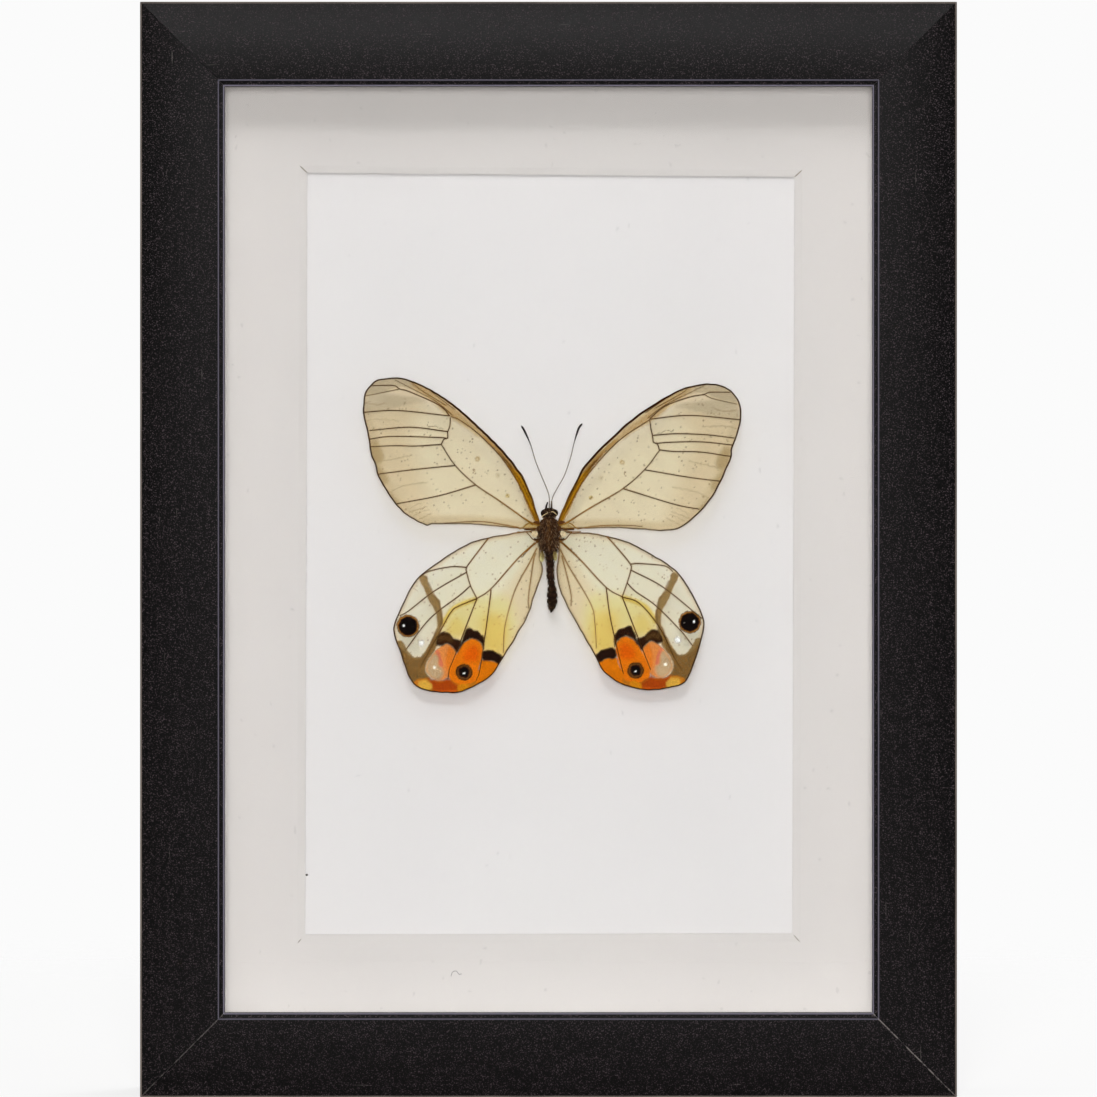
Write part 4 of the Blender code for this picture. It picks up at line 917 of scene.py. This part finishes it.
bodyLook = {
    # up, middle right, middle forward, half width, half depth
    "rings": [
        (4.15, -0.05, 0.25, 0.40, 0.40), (3.95, -0.05, 0.25, 0.85, 0.75), (3.30, -0.05, 0.20, 1.15, 1.00),
        (2.60, -0.05, 0.15, 1.10, 0.95), (2.25, -0.05, 0.10, 0.95, 0.90), (1.90, -0.10, 0.00, 1.30, 1.30),
        (1.30, -0.12, -0.10, 1.60, 1.75), (0.00, -0.22, -0.15, 1.70, 2.05), (-2.00, -0.20, -0.20, 1.45, 1.85),
        (-3.40, -0.10, -0.30, 1.35, 1.45), (-3.90, -0.05, -0.30, 0.98, 1.10), (-5.80, 0.10, -0.35, 0.78, 0.95),
        (-7.60, 0.14, -0.45, 0.70, 0.85), (-8.70, 0.16, -0.55, 0.72, 0.85), (-9.85, 0.34, -0.65, 0.63, 0.80),
        (-11.10, 0.48, -0.80, 0.85, 0.90), (-12.40, 0.49, -0.95, 1.00, 1.00), (-13.70, 0.46, -1.05, 0.92, 0.90),
        (-14.50, 0.42, -1.10, 0.55, 0.55), (-15.30, 0.28, -1.10, 0.12, 0.12),
    ],
    "sides": 44, "segment": 1.15, "groove": 0.22,
    "head": tone(28, 16, 9), "thorax": tone(70, 39, 14), "abdomen": tone(40, 22, 13), "tip": tone(31, 15, 7),
    "stripe": tone(122, 84, 44), "hair": 2400,
    "hairRadii": [0.045, 0.034, 0.008],  # at the root, the middle and the tip
    "stripeHair": [(34, 18, 8), (92, 60, 30), (156, 122, 86)],  # dark, middle and pale hairs
    "plainHair": [(24, 12, 6), (76, 46, 22), (146, 114, 84)],
    "tuftHair": [(136, 115, 63), (158, 134, 78), (112, 90, 46)],
    # up from, up to, shortest, longest, share of all hairs
    "hairZones": [(2.3, 4.1, 0.22, 0.45, 0.16), (-3.8, 2.1, 0.45, 1.0, 0.6), (-15.0, -3.8, 0.1, 0.24, 0.24)],
    "tufts": [((-1.35, -4.0), 0.4), ((0.95, -4.0), 0.25)],  # middle and width
    "abdomenTop": -4.2, "streakTone": (222, 198, 146), "streakRadius": 0.07,
    "streaks": [
        [(-1.5, 2.45, 0.75), (-1.15, 2.75, 0.98), (-0.65, 3.05, 1.2), (-0.25, 3.25, 1.26)],
        [(0.3, 3.4, 1.26), (0.7, 3.4, 1.1), (1.1, 3.1, 0.98), (1.3, 2.8, 0.85)],
    ],
    # tone, radius, line on the left side
    "struts": [
        ((82, 50, 20), 0.14, [(-1.6, 0.3, 0.8), (-3.3, 0.12, 0.85), (-4.7, 0.14, 0.95)]),
        ((140, 98, 30), 0.14, [(-1.9, 0.8, 0.85), (-3.3, 1.35, 0.95), (-4.9, 2.3, 1.05)]),
        ((150, 112, 42), 0.1, [(-3.3, 1.4, 0.9), (-4.2, 1.15, 0.95), (-4.8, 0.6, 0.95), (-5.6, 0.2, 0.95)]),
        ((132, 94, 40), 0.08, [(-2.1, -0.1, 0.75), (-3.3, -0.12, 0.85), (-4.3, -0.32, 0.9), (-6, -0.3, 0.95)]),
        ((112, 74, 28), 0.09, [(-4.3, -0.35, 0.85), (-3.7, -1.0, 0.8), (-3.1, -1.7, 0.75), (-2.2, -2.1, 0.7)]),
        ((84, 54, 26), 0.09, [(-2.25, 0.0, 0.7), (-2.05, -0.7, 0.72), (-2.3, -1.4, 0.7), (-2.0, -2.2, 0.7)]),
        ((60, 36, 18), 0.14, [(-1.7, -1.6, 0.6), (-2.3, -1.75, 0.65), (-2.9, -1.6, 0.7)]),
        ((128, 84, 20), 0.12, [(-2.1, -2.0, 0.6), (-3.3, -3.0, 0.75), (-4.4, -4.1, 0.8)]),
    ],
    "palpsRadii": (0.22, 0.12), "legsRadii": (0.16, 0.1),  # at the root and the tip
    "palps": [
        [(-0.70, 3.6, -0.1), (-0.62, 4.4, -0.1), (-0.36, 5.2, 0.0)],
        [(0.30, 3.6, -0.2), (0.36, 4.4, -0.2), (0.38, 5.4, -0.1)],
    ],
    "legs": [
        [(-0.4, 0.4, -1.6), (-1.5, 1.0, -2.8), (-0.8, -2.2, -3.1), (-0.7, -4.6, -2.6)],
        [(0.2, 0.4, -1.6), (1.3, 1.0, -2.8), (0.8, -2.2, -3.1), (0.7, -4.6, -2.6)],
        [(-0.4, -1.6, -1.5), (-1.1, -1.9, -2.5), (-0.7, -4.2, -2.4), (-0.35, -6.2, -2.3)],
        [(0.2, -1.6, -1.5), (1.0, -1.9, -2.5), (0.7, -4.2, -2.4), (0.5, -6.2, -2.3)],
    ],
    # right, up, forward, half sizes, tone
    "lumps": [
        (-1.02, 3.15, 0.35, 0.64, 0.7, 0.62, (34, 20, 12)), (0.95, 3.20, 0.35, 0.64, 0.7, 0.62, (34, 20, 12)),
        (-2.45, 1.3, 0.75, 0.62, 0.42, 0.26, (88, 50, 20)), (2.3, 1.35, 0.75, 0.62, 0.42, 0.26, (88, 50, 20)),
        (-2.75, -0.7, 0.55, 0.62, 0.55, 0.07, (226, 206, 166)),
        (2.45, -0.7, 0.55, 0.62, 0.55, 0.07, (226, 206, 166)),
        (-2.2, -2.0, 0.45, 0.34, 0.4, 0.25, (110, 76, 46)), (1.95, -2.0, 0.45, 0.34, 0.4, 0.25, (110, 76, 46)),
        (-1.95, 0.3, 0.75, 0.45, 0.6, 0.35, (70, 42, 20)), (1.75, 0.3, 0.75, 0.45, 0.6, 0.35, (70, 42, 20)),
        (-1.45, -5.0, -0.1, 0.42, 0.95, 0.2, (204, 196, 140)),
        (1.1, -4.9, -0.1, 0.34, 0.8, 0.2, (196, 186, 132)),
        (-0.34, 3.27, 1.12, 0.13, 0.13, 0.06, (232, 226, 216)),
    ],
}


def ringAt(y, look):
    rings = np.array(look["rings"])[::-1]
    return [float(np.interp(y, rings[:, 0], rings[:, i])) for i in range(1, 5)]


def bodyTone(at, look):
    x, y = at[:, 0], at[:, 1]
    colours = np.ones((len(at), 4))
    stops = [-15.3, -13.5, -11.0, -4.2, -3.6, 1.9, 2.4, 4.2]
    tones = [look[part] for part in ("tip", "abdomen", "thorax", "head") for _ in range(2)]
    for i in range(3):
        colours[:, i] = np.interp(y, stops, [t[i] for t in tones])
    stripe = ease(0.5, 0.1, np.abs(x + 0.15)) * ease(-3.6, -2.4, y) * ease(2.2, 1.4, y)
    colours[:, :3] += (np.array(look["stripe"]) - colours[:, :3]) * (stripe * 0.6)[:, None]
    bands = np.cos(y * 2 * math.pi / look["segment"]) * ease(-3.8, -4.6, y)
    mottle = 0.3 * ripple(at[:, :2], 0.7, 31) + 0.3 * ripple(at[:, :2], 0.35, 32)
    colours[:, :3] *= (1.0 - 0.35 * bands + mottle)[:, None]
    return np.clip(colours, 0.0, 1.0)


def makeBody(material, look):
    route = curveThrough([(0.0, r[0]) + r[1:] for r in look["rings"]], 0.22)
    bm = bmesh.new()
    loops = []
    for _, y, x, z, width, depth in route:
        wave = 0.5 + 0.5 * math.cos(y * 2 * math.pi / look["segment"])
        groove = 1.0 - look["groove"] * wave**2 * float(y < look["abdomenTop"])
        size = Matrix.Diagonal((max(width, 0.05) * groove, 1.0, max(depth, 0.05) * groove, 1.0))
        at = Matrix.Translation((x, y, z)) @ size @ Matrix.Rotation(math.pi / 2, 4, "X")
        ring = bmesh.ops.create_circle(bm, segments=look["sides"], radius=1.0, matrix=at)
        loops.append(list({edge for vert in ring["verts"] for edge in vert.link_edges}))
    for near, far in zip(loops, loops[1:]):
        bmesh.ops.bridge_loops(bm, edges=near + far)
    bmesh.ops.holes_fill(bm, edges=bm.edges[:], sides=0)
    bmesh.ops.recalc_face_normals(bm, faces=bm.faces[:])
    starts = []
    for x, y, z, width, height, depth, _ in look["lumps"]:
        starts.append(len(bm.verts))
        at = Matrix.Translation((x, y, z)) @ Matrix.Diagonal((width, height, depth, 1.0))
        bmesh.ops.create_icosphere(bm, subdivisions=3, radius=1.0, matrix=at)
    starts.append(len(bm.verts))
    flat = np.array([v.co[:] for v in bm.verts])
    colours = bodyTone(flat, look)
    for i, lump in enumerate(look["lumps"]):
        colours[starts[i]:starts[i + 1], :3] = tone(*lump[6])
    for vert, place in zip(bm.verts, placed(flat)):
        vert.co = place
    routes, radii = [], []
    for key in ("palps", "legs"):
        for line in look[key]:
            routes.append(curveThrough(line, 0.25))
            radii.append(np.linspace(*look[key + "Radii"], len(routes[-1])))
    bm.from_mesh(tubeMesh([placed(r) for r in routes], [r * mm for r in radii], 3))
    count = len(bm.verts) - len(colours)
    colours = np.concatenate((colours, np.tile((*look["head"], 1.0), (count, 1))))
    strokes = [(look["streakTone"], look["streakRadius"], line) for line in look["streaks"]]
    for shade, radius, line in look["struts"]:
        strokes += [(shade, radius, line), (shade, radius, [(-0.15 - x, y + 0.03, z) for x, y, z in line])]
    for shade, radius, line in strokes:
        route = curveThrough(line, 0.2)
        bm.from_mesh(tubeMesh([placed(route)], [np.full(len(route), radius * mm)], 2))
        count = len(bm.verts) - len(colours)
        colours = np.concatenate((colours, np.tile((*tone(*shade), 1.0), (count, 1))))
    settle("furred_body", bm, [material], ["butterfly_body"], 50.0, colours)


def hairRoutes(look):
    routes, tones = [], []
    for low, high, short, long, share in look["hairZones"]:
        for _ in range(int(look["hair"] * share)):
            y = rng.uniform(low, high)
            x, z, width, depth = ringAt(y, look)
            angle = rng.uniform(-0.15 * math.pi, 1.15 * math.pi)
            out = np.array([math.cos(angle), 0.0, math.sin(angle)])
            root = np.array([x + width * out[0] * 0.97, y, z + depth * out[2] * 0.97])
            lean = np.array([rng.normal(0, 0.25), -1.0 + rng.normal(0, 0.35), rng.normal(0, 0.2)])
            length = rng.uniform(short, long)
            first = out * 0.75 + lean * 0.5
            second = out * 0.3 + lean
            middle = root + first / np.linalg.norm(first) * length * 0.5
            tip = middle + second / np.linalg.norm(second) * length * 0.5
            routes.append(np.array([root, middle, tip]))
            stripe = abs(root[0] + 0.15) < 0.4 and -3 < y < 1.8
            shades = look["stripeHair"] if stripe else look["plainHair"]
            tuft = ripple(root[None, :2], 0.5, 41)[0] + rng.normal(0, 0.25)
            tones.append(tone(*shades[0 if tuft < -0.1 else 1 if tuft < 0.45 else 2]))
    for centre, width in look["tufts"]:
        for _ in range(int(look["hair"] * 0.012)):
            root = np.array([rng.normal(0, width / 2), rng.normal(0, 0.25), rng.normal(0, 0.2)])
            root += (*centre, 0.2)
            lean = np.array([rng.normal(0, 0.18), -1.0, rng.normal(0.05, 0.1)])
            reach = lean * rng.uniform(0.8, 1.7)
            routes.append(np.array([root, root + reach * 0.5, root + reach + (rng.normal(0, 0.1), 0, 0)]))
            tones.append(tone(*look["tuftHair"][rng.integers(3)]))
    return routes, tones


def makeHair(material, look):
    routes, tones = hairRoutes(look)
    radii = [np.array(look["hairRadii"]) * mm] * len(routes)
    mesh = tubeMesh([placed(r) for r in routes], radii, 0)
    each = len(mesh.vertices) // len(routes)
    colours = np.ones((len(mesh.vertices), 4))
    colours[:, :3] = np.repeat(np.array(tones), each, axis=0)
    settle("bodyHair", mesh, [material], (), 80.0, colours)


def chitinMaterial(name, roughness, sheen):
    material, place = newMaterial(name)
    paint = put("Attribute", attribute_name="paint")
    grain = noiseAt(place, 4200.0, 4.0, 0.65)
    shade = spread(grain, 0.3, 0.7, 0.7, 1.3)
    base = scaled(paint.outputs["Color"], shade)
    rough = spread(grain, 0.3, 0.7, roughness - 0.08, roughness + 0.1)
    normal = bumpFrom(grain, 0.5, 0.00005)
    return finished(material, plainSurface(base, rough, normal, Specular_IOR_Level=sheen))


antennaLook = {
    "left": [
        (-0.05, 4.05, 0.7), (-0.06, 5.9, 0.9), (-0.36, 7.3, 1.1), (-1.5, 10.05, 1.3), (-2.6, 12.8, 1.3),
        (-3.5, 15.8, 1.2), (-4.6, 18.3, 1.05), (-5.25, 19.4, 0.95),
    ],
    "right": [
        (0.37, 4.05, 0.7), (0.40, 5.4, 0.9), (0.75, 6.5, 1.1), (1.5, 7.9, 1.2), (2.76, 10.2, 1.3),
        (3.87, 13.4, 1.3), (4.5, 16.0, 1.2), (5.35, 18.75, 1.0), (6.1, 19.8, 0.9),
    ],
    "shaft": 0.075, "club": 0.19, "joint": 0.42, "grey": tone(118, 100, 82), "dark": tone(30, 19, 14),
}


def makeAntenna(side, material, look):
    route = curveThrough(look[side], 0.1)
    lengths = np.concatenate(([0.0], np.cumsum(np.linalg.norm(np.diff(route, axis=0), axis=1))))
    left = lengths[-1] - lengths
    club = ease(4.2, 1.2, left) * ease(-0.05, 0.35, left)
    joints = 1.0 + 0.12 * np.cos(lengths * 2 * math.pi / look["joint"])
    radii = (look["shaft"] + (look["club"] - look["shaft"]) * club) * joints
    radii *= 0.55 + 0.45 * ease(0.0, 0.25, left)
    mesh = tubeMesh([placed(route)], [radii * mm], 3)
    at = specimenCorners(mesh)
    nearest = np.array([np.argmin(((route - p) ** 2).sum(axis=1)) for p in at])
    dark = (ease(6.0, 2.5, left) + 0.6 * ease(1.2, 0.2, lengths))[nearest][:, None].clip(0, 1)
    bands = (0.85 + 0.3 * (np.cos(lengths * 2 * math.pi / look["joint"]) > 0))[nearest][:, None]
    colours = np.ones((len(at), 4))
    colours[:, :3] = (np.array(look["grey"]) * (1 - dark) + np.array(look["dark"]) * dark) * bands
    name, node = "ringed_antenna_" + side, "antenna_" + side
    settle(name, mesh, [material], [node], 60.0, colours.clip(0, 1))


chitin = chitinMaterial("brownChitin", 0.7, 0.05)
makeBody(chitin, bodyLook)
makeHair(chitinMaterial("fineHair", 0.7, 0.1), bodyLook)
for side in ("left", "right"):
    makeAntenna(side, chitinMaterial("antennaChitin_" + side, 0.55, 0.2), antennaLook)

stageLook = {
    "floorRadius": 0.9, "floorTone": (0.92, 0.92, 0.915), "floorGlow": 0.73,
    # the room's light as the camera sees it, as it lights the part, and as the part mirrors it
    "backdrop": 0.965, "dim": 0.1, "mirrored": 0.03,
    # name, place, side in metres, power, seen in reflections
    "lamps": [
        ("frontFill", (0.0, -1.95, 0.13), 0.18, 17.9, False),
        ("keyAbove", (-0.03, -1.42, 0.57), 0.17, 3.1, True),
        ("sideLeft", (-1.3, -0.85, 0.3), 0.5, 1.0, True),
        ("sideRight", (1.3, -0.85, 0.3), 0.5, 1.0, True),
        ("backWash", (0.7, 1.6, 1.3), 1.2, 6.0, True),
    ],
}


def makeStage(look):
    bm = bmesh.new()
    radius = look["floorRadius"]
    bmesh.ops.create_circle(bm, cap_ends=True, segments=96, radius=radius)
    mesh = bpy.data.meshes.new("floor")
    bm.to_mesh(mesh)
    bm.free()
    floor = bpy.data.objects.new("floor", mesh)
    bpy.context.scene.collection.objects.link(floor)
    material, place = newMaterial("paleFloor")
    away = put("VectorMath", {0: place}, operation="LENGTH").outputs["Value"]
    fine = noiseAt(place, 300.0, 2.0)
    base = blendTones(fine, darker(look["floorTone"], 0.99), look["floorTone"])
    glowing = calc("MULTIPLY", put("LightPath").outputs["Is Camera Ray"], look["floorGlow"])
    glow = {"Emission_Color": (1.0, 1.0, 1.0), "Emission_Strength": glowing, "Specular_IOR_Level": 0.1}
    solid = plainSurface(base, 0.9, **glow)
    fade = spread(away, 0.3 * radius, 0.75 * radius)  # the floor fades into the room
    through = put("BsdfTransparent").outputs[0]
    mesh.materials.append(finished(material, put("MixShader", {0: fade, 1: solid, 2: through}).outputs[0]))
    floor.location.z = -0.00005  # just below the frame's foot
    world = bpy.data.worlds.new("paleRoom")
    world.use_nodes = True
    building["tree"] = world.node_tree
    building["tree"].nodes.clear()
    path = put("LightPath").outputs
    level = calc("MULTIPLY_ADD", path["Is Glossy Ray"], look["mirrored"] - look["dim"], look["dim"])
    level = calc("MULTIPLY_ADD", path["Is Camera Ray"], look["backdrop"] - look["dim"], level)
    glowing = put("Background", {"Color": (1.0, 1.0, 1.0), "Strength": level}).outputs[0]
    put("OutputWorld", {"Surface": glowing})
    bpy.context.scene.world = world
    for name, place, side, power, reflected in look["lamps"]:
        lamp = bpy.data.lights.new(name, "AREA")
        lamp.shape = "DISK"
        lamp.size = side
        lamp.energy = power
        holder = bpy.data.objects.new(name, lamp)
        holder.location = place
        aim = Vector((0.0, 0.0, 0.1)) - Vector(place)
        holder.rotation_euler = aim.to_track_quat("-Z", "Y").to_euler()
        holder.visible_camera = False
        holder.visible_glossy = reflected
        holder.visible_transmission = False  # no lamp is mirrored in the glass
        bpy.context.scene.collection.objects.link(holder)
    bpy.context.scene.view_settings.view_transform = "Standard"
    print("made the stage")


makeStage(stageLook)
cameraLook = {"lens": 286.0, "sensor_width": 36.0, "clip_start": 0.05}
lens = bpy.data.cameras.new("camera")
for key, value in cameraLook.items():
    setattr(lens, key, value)
camera = bpy.data.objects.new("camera", lens)
camera.location = (0.0, -1.6175, 0.1008)  # straight in front, as in the photo
camera.rotation_euler = (math.pi / 2, 0.0, 0.0)
bpy.context.scene.collection.objects.link(camera)
bpy.context.scene.camera = camera
